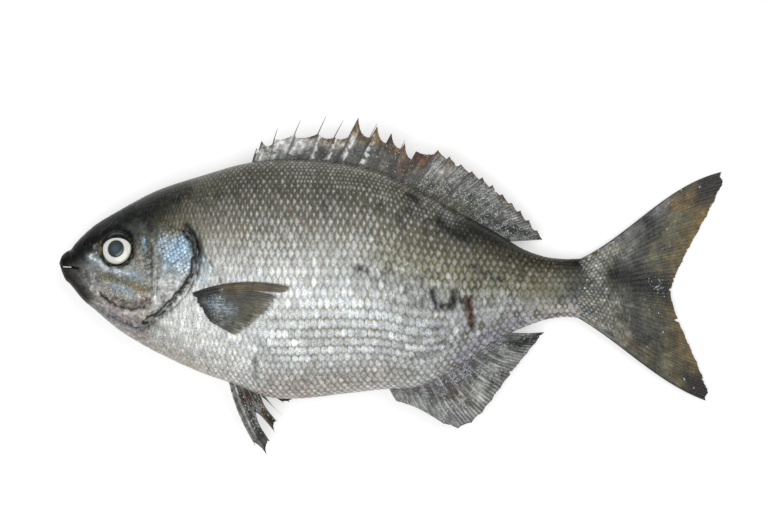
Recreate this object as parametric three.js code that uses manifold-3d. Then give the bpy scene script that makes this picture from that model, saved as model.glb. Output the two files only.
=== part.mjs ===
// A whole raw sea chub, lying on its right side on a flat surface. Millimetres, +Z up.
//
// Each piece is drawn in the fish's own frame: x runs back from the tip of the snout, y runs up from
// the level of the snout towards the back fin, and z is the height above the surface that the fish
// lies on. The last lines move the whole fish so that the origin is the middle of its footprint.

import * as THREE from "three";
import { mergeVertices } from "three/addons/utils/BufferGeometryUtils.js";
import Module from "manifold-3d";

const wasm = await Module();
wasm.setup();

// ---------------------------------------------------------------- driving dimensions

const fleshLength = 333; // snout to the rounded end of the flesh inside the tail fin
const pieceGap = 0.3; // clear space between neighbouring pieces
const rootDepth = 4; // how far a fin's sheet runs in behind the skin before it is trimmed
const ringCount = 46;
const ringPoints = 34;
const widestShare = 0.55; // how far up each ring its widest point sits
const ringFullness = 0.92; // under 1 fills the flanks out beyond an ellipse
const pressRadius = 1; // how softly the pressed flank turns up from the surface

// Outline and half thickness of the flesh, each as [distance behind the snout, value].
const backLine = [
  [0, 0.6], [1.2, 3.8], [4, 6.6], [7, 8.2], [9, 11], [14, 16.3], [21, 22.4], [35.6, 31.3],
  [57.3, 43], [86.3, 52.8], [115.2, 60.7], [139.4, 62.6], [158, 61.8], [187.6, 57.4],
  [206.9, 49.5], [237.7, 33], [264.2, 18.8], [281.7, 8.4], [296, 3.6], [307, 2.4], [318, 2.2],
  [326, -0.8], [331, -6.5], [fleshLength, -14.5],
];
const bellyLine = [
  [0, -1.4], [1.2, -5], [3, -9.6], [6.6, -13.4], [14, -22.4], [21, -28.2], [35.6, -40.4],
  [57.3, -53.4], [86.3, -66.9], [108, -74.4], [124, -81], [144, -82.4], [173, -79.4],
  [198, -76.8], [216, -76], [235.3, -67.6], [251.6, -57.3], [267, -46.4], [281.7, -39.8],
  [296, -35], [307, -33.6], [318, -34], [326, -32], [331, -26.5], [fleshLength, -17.5],
];
const halfWidths = [
  [0, 2.4], [1.2, 4.2], [6.6, 7.4], [14, 10.6], [21, 13.2], [35.6, 17.4], [57.3, 21.4],
  [86.3, 24.6], [115, 27.4], [132, 28.7], [150, 29.3], [175, 29], [205, 26.2], [235, 21], [264, 14.8],
  [285, 10.6], [307, 7.4], [320, 5.2], [fleshLength, 2.4],
];
// Height of the fish's middle plane: level through the stiff head, then sagging to the tail's tips.
const middlePlane = [
  [0, 25.8], [60, 27.2], [110, 27.4], [160, 27], [205, 24.8], [245, 20.4], [285, 14.8],
  [320, 10.6], [350, 7], [380, 3.8], [406, 2.2],
];

const eye = { x: 36.2, y: 7.6, radius: 9, bulge: 2.2, depth: 5 };
const mouth = { y: -2.6, length: 9, height: 0.5 };

// The gill cover's front and free rear edge, as [height above the snout, distance behind it].
const gillCover = {
  lowest: -38.5,
  highest: 21.5,
  front: [[-38.5, 46.5], [-33, 52.5], [-22, 57.6], [-8, 59.4], [7, 59.2], [16, 61], [21.5, 67]],
  rear: [[-38.5, 50.5], [-33, 62], [-22, 76], [-12, 82.4], [1, 85], [12, 83.6], [18, 79.6], [21.5, 73]],
};

// The back fin: where each spine roots, how far it leans back, how far it rises above its root,
// and how much of it the torn web behind it leaves bare.
const backFin = {
  root: [116.4, 118.8, 126, 135.2, 148.5, 157.5, 166.6, 178.7, 189.6, 198, 206],
  lean: [2.8, 3.4, 6, 10.7, 13.3, 14.5, 14.5, 13.7, 11.5, 11.3, 10.1],
  rise: [8.8, 12.8, 20.3, 24.4, 27.7, 25.1, 27.5, 25.7, 22.3, 21.3, 18.2],
  bare: [0.1, 0.36, 0.34, 0.34, 0.34, 0.32, 0.3, 0.2, 0.17, 0.17, 0.06],
  softRoots: [212, 268],
  softTips: [[229.5, 68.9], [295.8, 14.1]],
  softArch: 3.6,
};

// The belly fin behind the vent: three short spines, then the path that its soft rays' tips follow.
const ventFin = {
  spineRoots: [198.5, 205, 211],
  spineTips: [[204.2, -84.4], [210.3, -86.2], [218.2, -89.3]],
  softRoots: [218, 268],
  tipPath: [
    [0, 232.9, -98.4], [0.1, 241.7, -101.4], [0.22, 251.4, -96.8], [0.6, 273.2, -69.4], [1, 294.8, -42.6],
  ],
};

const tailFin = {
  fork: [373.3, -18.6],
  upperTip: [404.8, 56],
  lowerTip: [395, -85.3],
  forkRounding: 0.003,
};

const sideFin = {
  pivot: [84, -22],
  roots: [[80.5, -18.6], [92, -34]],
  tips: [[140, -14.2], [109, -43.6]],
  webDip: 0.03,
};

// The throat fins hang under the belly. The left one has split between its rays.
const throatFins = {
  left: {
    roots: [[101.5, -66], [119, -72]],
    tips: [[118, -112.5], [125.2, -118.3], [127, -110], [130.5, -104.8], [131.5, -98], [135.2, -94.3]],
    splits: [0.05, 0.05, 0.4, 0.08, 0.6],
    heights: [32, 13],
    bow: -0.05,
  },
  right: {
    roots: [[112, -70], [122, -74]],
    tips: [[135, -86], [139, -85.8], [140.6, -84.6], [139.5, -82.5], [137, -81], [134, -80]],
    splits: [0.05, 0.05, 0.05, 0.05, 0.05],
    heights: [21, 9],
    bow: 0,
  },
};

// ---------------------------------------------------------------- colours

const skin = {
  body: new THREE.MeshStandardMaterial({ color: 0x8f908b, roughness: 0.42, metalness: 0.1 }),
  gillCover: new THREE.MeshStandardMaterial({ color: 0x9aa7ae, roughness: 0.32, metalness: 0.25 }),
  eye: new THREE.MeshStandardMaterial({ color: 0xdcdcd2, roughness: 0.12, metalness: 0 }),
  fin: new THREE.MeshStandardMaterial({ color: 0x5e5c54, roughness: 0.45, metalness: 0.05 }),
};

// ---------------------------------------------------------------- curves and solids

/** A smooth curve through stations, each [place, value]. Column picks another value of a station. */
function through(stations, column = 1) {
  const curve = new THREE.CubicInterpolant(stations.map((s) => s[0]), stations.map((s) => s[column]), 1);
  return (place) => curve.evaluate(place)[0];
}

const backAt = through(backLine);
const bellyAt = through(bellyLine);
const halfWidthAt = through(halfWidths);
const middleAt = through(middlePlane);

function mix(a, b, share) {
  return a + (b - a) * share;
}

/** The point that lies share of the way from one [x, y] to another. */
function between([fromX, fromY], [toX, toY], share) {
  return [mix(fromX, toX, share), mix(fromY, toY, share)];
}

/** Evenly spaced shares from 0 to 1. */
function evenly(count) {
  return Array.from({ length: count }, (_, i) => i / (count - 1));
}

/** Turns a closed geometry into a manifold solid with its faces pointing out. */
function solidFrom(geometry) {
  const bare = geometry.clone();
  bare.deleteAttribute("normal");
  bare.deleteAttribute("uv");
  const merged = mergeVertices(bare, 1e-4);
  const triVerts = new Uint32Array(merged.index.array);
  const vertProperties = new Float32Array(merged.attributes.position.array);
  const made = new wasm.Manifold(new wasm.Mesh({ numProp: 3, vertProperties, triVerts }));
  if (made.volume() > 0) return made;
  for (let i = 0; i < triVerts.length; i += 3) {
    [triVerts[i + 1], triVerts[i + 2]] = [triVerts[i + 2], triVerts[i + 1]];
  }
  return new wasm.Manifold(new wasm.Mesh({ numProp: 3, vertProperties, triVerts }));
}

/** The solid as a geometry. Only its largest body is kept, without slivers that a cut leaves. */
function geometryFrom(solid) {
  const largest = solid.decompose().reduce((a, b) => (b.volume() > a.volume() ? b : a));
  const mesh = largest.getMesh();
  const geometry = new THREE.BufferGeometry();
  geometry.setAttribute("position", new THREE.BufferAttribute(new Float32Array(mesh.vertProperties), 3));
  geometry.setIndex(new THREE.BufferAttribute(new Uint32Array(mesh.triVerts), 1));
  return geometry;
}

/** Joins points, given as [x, y, z], with triangles into an indexed geometry. */
function indexed(points, triangles) {
  const geometry = new THREE.BufferGeometry();
  geometry.setAttribute("position", new THREE.BufferAttribute(new Float32Array(points.flat()), 3));
  geometry.setIndex(triangles.flat());
  return geometry;
}

// ---------------------------------------------------------------- body

/** Presses the lower flank flat on the surface, with a soft turn where it lifts off. */
function pressed(z) {
  if (z > pressRadius) return z;
  if (z < -pressRadius) return 0;
  return (z + pressRadius) ** 2 / (4 * pressRadius);
}

/** The lowest, widest and highest y of the ring at a distance behind the snout. */
function ringAt(x) {
  const top = backAt(x);
  const bottom = bellyAt(x);
  return { top, bottom, widest: mix(bottom, top, widestShare) };
}

/** A point of the skin: angle 0 is the upper flank, a quarter turn the back. Swell moves it out. */
function skinPoint(x, angle, swell = 0) {
  const { top, bottom, widest } = ringAt(x);
  const rise = Math.sin(angle);
  const across = Math.cos(angle);
  const reach = (rise > 0 ? top - widest : widest - bottom) + swell;
  const out = Math.sign(across) * Math.abs(across) ** ringFullness * (halfWidthAt(x) + swell);
  const z = middleAt(x) + out;
  return [x, widest + rise * reach, across < 0 ? pressed(z + swell) - swell : z];
}

/** Height of the skin at a point of the side view. Side is 1 for the left flank, -1 for the right. */
function skinHeight(x, y, side) {
  const { top, bottom, widest } = ringAt(x);
  const reach = y > widest ? top - widest : widest - bottom;
  const angle = Math.asin(THREE.MathUtils.clamp((y - widest) / reach, -1, 1));
  return skinPoint(x, side > 0 ? angle : Math.PI - angle)[2];
}

/** The flesh, with swell millimetres added all round. Its rings crowd towards both closed ends. */
function fleshSolid(swell) {
  const places = evenly(ringCount + 2)
    .slice(1, -1)
    .map((t) => fleshLength * mix(t, (1 - Math.cos(Math.PI * t)) / 2, 0.5));
  const points = [];
  for (const x of places) {
    for (let k = 0; k < ringPoints; k += 1) points.push(skinPoint(x, (2 * Math.PI * k) / ringPoints, swell));
  }
  const snout = points.length;
  const tail = snout + 1;
  points.push([-swell, ringAt(0).widest, middleAt(0)]);
  points.push([fleshLength + swell, ringAt(fleshLength).widest, middleAt(fleshLength)]);
  const lastRing = (places.length - 1) * ringPoints;
  const triangles = [];
  for (let k = 0; k < ringPoints; k += 1) {
    const next = (k + 1) % ringPoints;
    for (let start = 0; start < lastRing; start += ringPoints) {
      const after = start + ringPoints;
      triangles.push([start + k, start + next, after + k], [start + next, after + next, after + k]);
    }
    triangles.push([next, k, snout], [lastRing + k, lastRing + next, tail]);
  }
  return solidFrom(indexed(points, triangles));
}

const clearFlesh = fleshSolid(pieceGap);

// ---------------------------------------------------------------- eyes and mouth

/** A lens-shaped eyeball about +Z, its rim at z = 0, with room added all round for the socket. */
function eyeballGeometry(room) {
  const quarter = evenly(4).map((t) => (t * Math.PI) / 2);
  const below = quarter.map((turn) => new THREE.Vector2(Math.sin(turn), -Math.cos(turn) * eye.depth));
  const above = quarter
    .slice(1)
    .map((turn) => new THREE.Vector2(Math.cos(turn), Math.sin(turn) * eye.bulge));
  const profile = [...below, ...above].map(({ x, y }) => {
    const onAxis = x < 1e-6;
    return new THREE.Vector2(onAxis ? 0 : x * eye.radius + room, y + Math.sign(y) * room);
  });
  return new THREE.LatheGeometry(profile, 24).rotateX(Math.PI / 2);
}

/** Where an eye sits on its flank, turned to look straight out of the skin. */
function eyePlace(side) {
  const step = 2;
  const skinNear = (dx, dy) => skinHeight(eye.x + dx, eye.y + dy, side);
  const riseBack = skinNear(step, 0) - skinNear(-step, 0);
  const riseUp = skinNear(0, step) - skinNear(0, -step);
  const out = new THREE.Vector3(-riseBack, -riseUp, 2 * step).normalize().multiplyScalar(side);
  return {
    position: new THREE.Vector3(eye.x, eye.y, skinHeight(eye.x, eye.y, side)),
    quaternion: new THREE.Quaternion().setFromUnitVectors(new THREE.Vector3(0, 0, 1), out),
  };
}

function socketSolid(side) {
  const { position, quaternion } = eyePlace(side);
  const matrix = new THREE.Matrix4().compose(position, quaternion, new THREE.Vector3(1, 1, 1));
  return solidFrom(eyeballGeometry(pieceGap).applyMatrix4(matrix));
}

/** The slit between the lips: a flat wedge that narrows towards the jaw's corner. */
function mouthSolid() {
  const wedge = new THREE.Shape();
  wedge.moveTo(-3, mouth.y + mouth.height);
  wedge.lineTo(mouth.length, mouth.y - 0.2);
  wedge.lineTo(mouth.length, mouth.y - 0.5);
  wedge.lineTo(-3, mouth.y - mouth.height);
  wedge.closePath();
  return solidFrom(new THREE.ExtrudeGeometry(wedge, { depth: 2 * middleAt(0), bevelEnabled: false }));
}

// ---------------------------------------------------------------- sheets over rays

/**
 * A sheet over a row of rays, each [root, tip] as [x, y] points. Between neighbouring rays stand
 * columns at the shares that columnsIn(gap) lists, and the sheet reaches edge(gap, share) of the
 * way along them. bow(t) bends the rays sideways by that part of their length, where t runs from 0
 * at the first ray to 1 at the last. height(x, y, along) is the sheet's middle plane, and
 * thick(along, onRay) its thickness. The sheet's points are [x, y, z].
 */
function sheetSolid({ rays, rows, columnsIn, edge = () => 1, bow = () => 0, height, thick }) {
  const upper = [];
  const lower = [];
  let columnCount = 0;
  rays.forEach(([root, tip], gap) => {
    const [nextRoot, nextTip] = rays[gap + 1] ?? [root, tip];
    const shares = gap + 1 < rays.length ? columnsIn(gap) : [0];
    for (const share of shares) {
      const from = between(root, nextRoot, share);
      const to = between(tip, nextTip, share);
      const reach = edge(gap, share);
      const bend = bow((gap + share) / (rays.length - 1));
      columnCount += 1;
      for (let row = 0; row <= rows; row += 1) {
        const along = (reach * row) / rows;
        const [straightX, straightY] = between(from, to, along);
        const sideways = bend * 4 * along * (1 - along);
        const x = straightX - sideways * (to[1] - from[1]);
        const y = straightY + sideways * (to[0] - from[0]);
        const z = height(x, y, along);
        const half = thick(along, share === 0) / 2;
        upper.push([x, y, z + half]);
        lower.push([x, y, z - half]);
      }
    }
  });
  const perColumn = rows + 1;
  const under = upper.length;
  const triangles = [];
  const quad = (a, b, c, d) => triangles.push([a, b, c], [a, c, d]);
  for (let column = 0; column + 1 < columnCount; column += 1) {
    const root = column * perColumn;
    const tip = root + rows;
    for (let a = root; a < tip; a += 1) {
      const b = a + perColumn;
      quad(a, b, b + 1, a + 1);
      quad(under + a, under + a + 1, under + b + 1, under + b);
    }
    quad(root, under + root, under + root + perColumn, root + perColumn);
    quad(tip, tip + perColumn, under + tip + perColumn, under + tip);
  }
  const lastColumn = (columnCount - 1) * perColumn;
  for (let row = 0; row < rows; row += 1) {
    const last = lastColumn + row;
    quad(row, row + 1, under + row + 1, under + row);
    quad(last, under + last, under + last + 1, last + 1);
  }
  return solidFrom(indexed([...upper, ...lower], triangles));
}

/** A fin stops just short of the skin that it grows from. */
function finGeometry(sheet) {
  return geometryFrom(sheetSolid(sheet).subtract(clearFlesh));
}

/** A tapering sheet, thicker on its rays than on the web between them. */
function tapered(rootThickness, tipThickness) {
  return (along, onRay) => mix(rootThickness, tipThickness, along) * (onRay ? 1 : 0.75);
}

/** A web that dips a little between soft rays. */
function scallop(depth) {
  return (gap, share) => 1 - depth * Math.sin(Math.PI * share);
}

const halfway = () => [0, 0.5];

// ---------------------------------------------------------------- gill covers

/** A bony flap that lies on the cheek, thin along its front and standing proud at its free rear edge. */
function gillCoverGeometry(side) {
  const frontAt = through(gillCover.front);
  const rearAt = through(gillCover.rear);
  const rays = evenly(13).map((t) => {
    const y = mix(gillCover.highest, gillCover.lowest, t);
    return [[frontAt(y), y], [rearAt(y), y]];
  });
  const clearance = 2 * pieceGap;
  const thick = (along) => mix(0.5, 1.3, along);
  const height = (x, y, along) => skinHeight(x, y, side) + side * (clearance + thick(along) / 2);
  return geometryFrom(sheetSolid({ rays, rows: 6, columnsIn: () => [0], height, thick }));
}

// ---------------------------------------------------------------- fins

/** Stiff spines with torn webs between them, then a long low soft part that ends in a point. */
function backFinGeometry() {
  const spines = backFin.root.map((x, i) => [
    [x, backAt(x) - rootDepth],
    [x + backFin.lean[i], backAt(x) + backFin.rise[i]],
  ]);
  const softRays = evenly(12).map((t) => {
    const x = mix(...backFin.softRoots, t);
    const arch = backFin.softArch * Math.sin(Math.PI * t);
    const [tipX, tipY] = between(...backFin.softTips, t);
    return [[x, backAt(x) - rootDepth], [tipX + arch, tipY + arch]];
  });
  const isTorn = (gap) => gap < spines.length;
  return finGeometry({
    rays: [...spines, ...softRays],
    rows: 4,
    columnsIn: (gap) => (isTorn(gap) ? [0, 0.3, 0.92] : [0, 0.6]),
    edge: (gap, share) => {
      if (!isTorn(gap)) return 1 - 0.06 * Math.sin(Math.PI * share);
      return 1 - backFin.bare[gap] * Math.min(1, share * 2.2);
    },
    height: (x, y, along) => middleAt(x) - 3 * along * along,
    thick: tapered(3, 0.9),
  });
}

/** Three short spines, then soft rays that shorten towards the tail. */
function ventFinGeometry() {
  const spines = ventFin.spineRoots.map((x, i) => [[x, bellyAt(x) + rootDepth], ventFin.spineTips[i]]);
  const tipX = through(ventFin.tipPath, 1);
  const tipY = through(ventFin.tipPath, 2);
  const softRays = evenly(11).map((t) => {
    const x = mix(...ventFin.softRoots, t);
    return [[x, bellyAt(x) + rootDepth], [tipX(t), tipY(t)]];
  });
  return finGeometry({
    rays: [...spines, ...softRays],
    rows: 4,
    columnsIn: halfway,
    edge: scallop(0.03),
    bow: () => -0.03,
    height: (x, y, along) => middleAt(x) - 3.5 * along * along,
    thick: tapered(3, 0.9),
  });
}

/** Rays that fan out of the flesh's rounded end to two pointed lobes. */
function tailFinGeometry() {
  const rounding = tailFin.forkRounding;
  const spread = (out) => (Math.sqrt(out * out + rounding) - Math.sqrt(rounding)) / (1 - Math.sqrt(rounding));
  const rays = evenly(17).map((t) => {
    const isUpper = t < 0.5;
    const out = Math.abs(1 - 2 * t);
    const [forkX, forkY] = tailFin.fork;
    const [tipX, tipY] = isUpper ? tailFin.upperTip : tailFin.lowerTip;
    const root = between([321, -15.5], isUpper ? [309, -0.8] : [309, -30.6], out);
    return [root, [mix(forkX, tipX, Math.min(1, spread(out))), mix(forkY, tipY, out)]];
  });
  return finGeometry({
    rays,
    rows: 5,
    columnsIn: halfway,
    edge: scallop(0.012),
    bow: (t) => mix(0.01, -0.01, t),
    height: (x) => middleAt(x),
    thick: tapered(4, 0.9),
  });
}

/**
 * A side fin that lies back along its flank. Swing turns it down towards the belly about its root,
 * and lift raises its tip off the flank.
 */
function sideFinGeometry(side, swing, lift) {
  const pivot = new THREE.Vector2(...sideFin.pivot);
  const rays = evenly(11).map((t) => {
    const root = new THREE.Vector2(...between(...sideFin.roots, t));
    const [front, back] = sideFin.tips;
    const tip = new THREE.Vector2(mix(front[0], back[0], t ** 1.25), mix(front[1], back[1], t));
    tip.y -= 2 * Math.sin(Math.PI * t);
    return [root, tip].map((point) => point.rotateAround(pivot, -swing).toArray());
  });
  return finGeometry({
    rays,
    rows: 4,
    columnsIn: halfway,
    edge: scallop(sideFin.webDip),
    bow: (t) => mix(0.08, -0.02, t),
    height: (x, y, along) => {
      const off = mix(-0.6, 1.1, Math.min(1, along * 4)) + lift * along * along;
      return Math.max(skinHeight(x, y, side) + side * off, 0.6);
    },
    thick: tapered(1.5, 0.8),
  });
}

/** One spine and five soft rays, split between the rays where splits is large. */
function throatFinGeometry({ roots, tips, splits, heights, bow }) {
  return finGeometry({
    rays: tips.map((tip, i) => [between(...roots, i / (tips.length - 1)), tip]),
    rows: 4,
    columnsIn: () => [0, 0.35, 0.65],
    edge: (gap, share) => 1 - (splits[gap] ?? 0) * (share > 0 ? 1 : 0),
    bow: () => bow,
    height: (x, y, along) => mix(...heights, along ** 0.8),
    thick: tapered(2.2, 0.9),
  });
}

// ---------------------------------------------------------------- the whole fish

const pieces = new THREE.Group();

function place(name, geometry, material, at) {
  const mesh = new THREE.Mesh(geometry, material);
  mesh.name = name;
  if (at) {
    mesh.position.copy(at.position);
    mesh.quaternion.copy(at.quaternion);
  }
  pieces.add(mesh);
}

const cuts = [socketSolid(1), socketSolid(-1), mouthSolid()];
const flesh = cuts.reduce((solid, cut) => solid.subtract(cut), fleshSolid(0));
place("body", geometryFrom(flesh), skin.body);

for (const [word, side] of [["left", 1], ["right", -1]]) {
  place(`eye_${word}`, geometryFrom(solidFrom(eyeballGeometry(0))), skin.eye, eyePlace(side));
  place(`gill_cover_${word}`, gillCoverGeometry(side), skin.gillCover);
  place(`pelvic_fin_${word}`, throatFinGeometry(throatFins[word]), skin.fin);
}
place("pectoral_fin_left", sideFinGeometry(1, 0, 1.5), skin.fin);
place("pectoral_fin_right", sideFinGeometry(-1, 0.55, 0), skin.fin);
place("dorsal_fin", backFinGeometry(), skin.fin);
place("anal_fin", ventFinGeometry(), skin.fin);
place("tail_fin", tailFinGeometry(), skin.fin);

const extent = new THREE.Box3().setFromObject(pieces, true);
const middle = extent.getCenter(new THREE.Vector3());
pieces.position.set(-middle.x, -middle.y, -extent.min.z);

const fish = new THREE.Group();
fish.add(pieces);

export default fish;
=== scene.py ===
# A whole raw sea chub lying on its right side: wet skin, scales, gill covers, eyes, teeth and fins,
# laid over the solid model in its own frame. Lengths are millimetres until a mesh is placed.
import math
import random

import bpy
import numpy as np
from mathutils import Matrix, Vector, noise


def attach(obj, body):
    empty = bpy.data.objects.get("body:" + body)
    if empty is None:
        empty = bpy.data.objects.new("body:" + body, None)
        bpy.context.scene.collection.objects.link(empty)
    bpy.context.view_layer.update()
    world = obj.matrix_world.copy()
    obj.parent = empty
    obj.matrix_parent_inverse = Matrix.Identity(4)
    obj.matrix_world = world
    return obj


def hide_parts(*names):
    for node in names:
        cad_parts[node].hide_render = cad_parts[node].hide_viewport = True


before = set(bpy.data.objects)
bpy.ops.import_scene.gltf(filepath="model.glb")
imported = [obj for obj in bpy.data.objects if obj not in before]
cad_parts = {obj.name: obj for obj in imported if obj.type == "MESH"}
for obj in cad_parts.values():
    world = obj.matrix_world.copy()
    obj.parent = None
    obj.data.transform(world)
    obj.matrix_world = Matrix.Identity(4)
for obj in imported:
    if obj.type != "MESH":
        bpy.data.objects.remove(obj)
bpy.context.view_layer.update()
random.seed(11)
dice = np.random.default_rng(11)

# The fish's own measures: x runs back from the snout, y up from it, z above the surface.
fishShape = {
    "length": 333,
    "origin": (202.4, -14.4),
    "widestShare": 0.55,
    "fullness": 0.92,
    "backLine": [
        (0, 0.6), (1.2, 3.8), (4, 6.6), (7, 8.2), (9, 11), (14, 16.3), (21, 22.4), (35.6, 31.3),
        (57.3, 43), (86.3, 52.8), (115.2, 60.7), (139.4, 62.6), (158, 61.8), (187.6, 57.4),
        (206.9, 49.5), (237.7, 33), (264.2, 18.8), (281.7, 8.4), (296, 3.6), (307, 2.4), (318, 2.2),
        (326, -0.8), (331, -6.5), (333, -14.5),
    ],
    "bellyLine": [
        (0, -1.4), (1.2, -5), (3, -9.6), (6.6, -13.4), (14, -22.4), (21, -28.2), (35.6, -40.4),
        (57.3, -53.4), (86.3, -66.9), (108, -74.4), (124, -81), (144, -82.4), (173, -79.4),
        (198, -76.8), (216, -76), (235.3, -67.6), (251.6, -57.3), (267, -46.4), (281.7, -39.8),
        (296, -35), (307, -33.6), (318, -34), (326, -32), (331, -26.5), (333, -17.5),
    ],
    "halfWidths": [
        (0, 2.4), (1.2, 4.2), (6.6, 7.4), (14, 10.6), (21, 13.2), (35.6, 17.4), (57.3, 21.4),
        (86.3, 24.6), (115, 27.4), (132, 28.7), (150, 29.3), (175, 29), (205, 26.2), (235, 21),
        (264, 14.8), (285, 10.6), (307, 7.4), (320, 5.2), (333, 2.4),
    ],
    "middlePlane": [
        (0, 25.8), (60, 27.2), (110, 27.4), (160, 27), (205, 24.8), (245, 20.4), (285, 14.8),
        (320, 10.6), (350, 7), (380, 3.8), (406, 2.2),
    ],
    "gillReach": (-38.5, 21.5),  # the lowest and the highest place of the gill cover
    "gillFront": [(-38.5, 46.5), (-33, 52.5), (-22, 57.6), (-8, 59.4), (7, 59.2), (16, 61), (21.5, 67)],
    "gillRear": [
        (-38.5, 50.5), (-33, 62), (-22, 76), (-12, 82.4), (1, 85), (12, 83.6), (18, 79.6), (21.5, 73),
    ],
}


def through(stations, column=1):
    # a smooth curve through stations, the same one that the solid model is drawn with
    at = np.array([s[0] for s in stations], float)
    value = np.array([s[column] for s in stations], float)
    last = len(at) - 1

    def curve(place):
        place = np.clip(np.asarray(place, float), at[0], at[-1])
        end = np.clip(np.searchsorted(at, place, side="right"), 1, last)
        start = end - 1
        before = np.where(start > 0, start - 1, end)
        after = np.where(end < last, end + 1, start)
        half = (at[end] - at[start]) / 2
        pullIn = half / (at[start] - at[before])
        pullOut = half / (at[after] - at[end])
        share = (place - at[start]) / (at[end] - at[start])
        square, cube = share**2, share**3
        return (
            value[before] * (-pullIn * cube + 2 * pullIn * square - pullIn * share)
            + value[start] * ((1 + pullIn) * cube + (-1.5 - 2 * pullIn) * square + (pullIn - 0.5) * share + 1)
            + value[end] * ((-1 - pullOut) * cube + (1.5 + pullOut) * square + 0.5 * share)
            + value[after] * (pullOut * cube - pullOut * square)
        )

    return curve


backAt = through(fishShape["backLine"])
bellyAt = through(fishShape["bellyLine"])
halfWidthAt = through(fishShape["halfWidths"])
middleAt = through(fishShape["middlePlane"])
gillFrontAt = through(fishShape["gillFront"])
gillRearAt = through(fishShape["gillRear"])
gillLow, gillHigh = fishShape["gillReach"]
sideWords = {1: "Left", -1: "Right"}


def mix(a, b, share):
    return a + (b - a) * share


def ease(value, low, high):
    # 0 below low, 1 above high, and a soft step between them
    share = np.clip((np.asarray(value, float) - low) / (high - low), 0, 1)
    return share * share * (3 - 2 * share)


def between(value, rise, fall):
    # 1 between two soft steps and 0 outside them. Rise and fall are where each step starts and ends
    return ease(value, *rise) * ease(-np.asarray(value), -fall[1], -fall[0])


def bell(distance, width):
    # 1 at no distance, falling off softly over the width
    return np.exp(-((distance / width) ** 2))


def pressed(z):
    # the lower flank lies flat on the surface, with a soft turn where it lifts off
    return np.where(z > 1, z, np.where(z < -1, 0, (z + 1) ** 2 / 4))


def onSkin(x, angle, lift=0.0):
    # a point of the skin: angle 0 is the upper flank, a quarter turn the back. Lift moves it outwards
    top, bottom = backAt(x), bellyAt(x)
    widest = mix(bottom, top, fishShape["widestShare"])
    rise, across = np.sin(angle), np.cos(angle)
    reach = np.where(rise > 0, top - widest, widest - bottom)
    fullness = np.sign(across) * np.abs(across) ** fishShape["fullness"]
    level = middleAt(x) + fullness * halfWidthAt(x)
    level = np.where(across < 0, pressed(level), level)
    return x, widest + rise * (reach + lift), level + fullness * lift


def skinAngle(x, y, side):
    top, bottom = backAt(x), bellyAt(x)
    widest = mix(bottom, top, fishShape["widestShare"])
    reach = np.where(y > widest, top - widest, widest - bottom)
    angle = np.arcsin(np.clip((y - widest) / reach, -1, 1))
    return angle if side > 0 else math.pi - angle


def skinHeight(x, y, side, lift=0.0):
    return onSkin(x, skinAngle(x, y, side))[2] + side * lift


def intoFrame(x, y, z):
    # the fish's own millimetres to the metres of the shared frame
    centreX, centreY = fishShape["origin"]
    return np.stack([(x - centreX) / 1000, (y - centreY) / 1000, z / 1000], axis=-1)


def pointsOf(piece):
    points = np.empty(len(piece.data.vertices) * 3)
    piece.data.vertices.foreach_get("co", points)
    return points.reshape(-1, 3)


def movePoints(piece, x, y, z):
    piece.data.vertices.foreach_set("co", intoFrame(x, y, z).ravel())
    piece.data.update()


def roughly(x, y, scale, seed, octaves=3):
    # soft noise about 0, one value for each place
    return np.array(
        [noise.fractal((a / scale, b / scale, seed), 0.6, 2.1, octaves) for a, b in zip(x, y)]
    )


def wander(x, y, far, grain, seeds):
    # places moved about a little, so that borders and marks come out ragged
    return x + far * roughly(x, y, grain, seeds[0]), y + far * roughly(x, y, grain, seeds[1])


def patchy(x, y, grain, seed, least):
    # how strongly a soft mark shows from place to place
    return np.clip(0.85 + 1.3 * roughly(x, y, grain, seed), least, 1.2)


def nearLine(x, y, line):
    # how far each place is from a line of points
    nearest = np.full(np.shape(x), 1e9)
    for (ax, ay), (bx, by) in zip(line, line[1:]):
        length = math.dist((ax, ay), (bx, by))
        share = np.clip(((x - ax) * (bx - ax) + (y - ay) * (by - ay)) / length**2, 0, 1)
        away = np.hypot(x - ax - share * (bx - ax), y - ay - share * (by - ay))
        nearest = np.minimum(nearest, away)
    return nearest


# The tones that skin, scales and fins are painted with: pigments, and the ways that wet skin shines.
tones = {
    "ink": "#070808",
    "slate": "#1d201e",
    "drab": "#454640",
    "olive": "#5c5944",
    "pewter": "#70726d",
    "steel": "#979893",
    "silver": "#b4b6b4",
    "white": "#dcdedd",
    "pearl": "#a09a94",
    "mist": "#86939b",
    "sky": "#8fafc8",
    "lilac": "#76747a",
    "ochre": "#605233",
    "gold": "#7c5f24",
    "rust": "#4c3022",
    "blood": "#26100c",
}


def linear(code):
    # an sRGB hex colour as the linear numbers that shaders use
    channels = [int(code[i : i + 2], 16) / 255 for i in (1, 3, 5)]
    return np.array([c / 12.92 if c <= 0.04045 else ((c + 0.055) / 1.055) ** 2.4 for c in channels])


def toned(stops, share):
    # the colour at each share of the way along a row of tones
    places = [place for place, _ in stops]
    colours = np.array([linear(tones[tone]) for _, tone in stops])
    return np.stack([np.interp(share, places, channel) for channel in colours.T], axis=-1)


def colourLayer(piece, name, colours):
    # one colour for each vertex, which a material reads by the layer's name
    layer = piece.data.color_attributes.new(name=name, type="FLOAT_COLOR", domain="POINT")
    opaque = np.concatenate([np.clip(colours, 0, 1), np.ones((len(colours), 1))], axis=1)
    layer.data.foreach_set("color", opaque.ravel())


def amountLayer(piece, name, amounts):
    layer = piece.data.attributes.new(name=name, type="FLOAT", domain="POINT")
    layer.data.foreach_set("value", amounts)


def tint(piece, colours, flecks=None):
    # a piece's own colours, and how densely silver flecks, partly painted glints, lie on it
    colourLayer(piece, "tint", colours)
    if flecks is not None:
        amountLayer(piece, "flecks", flecks)


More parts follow.
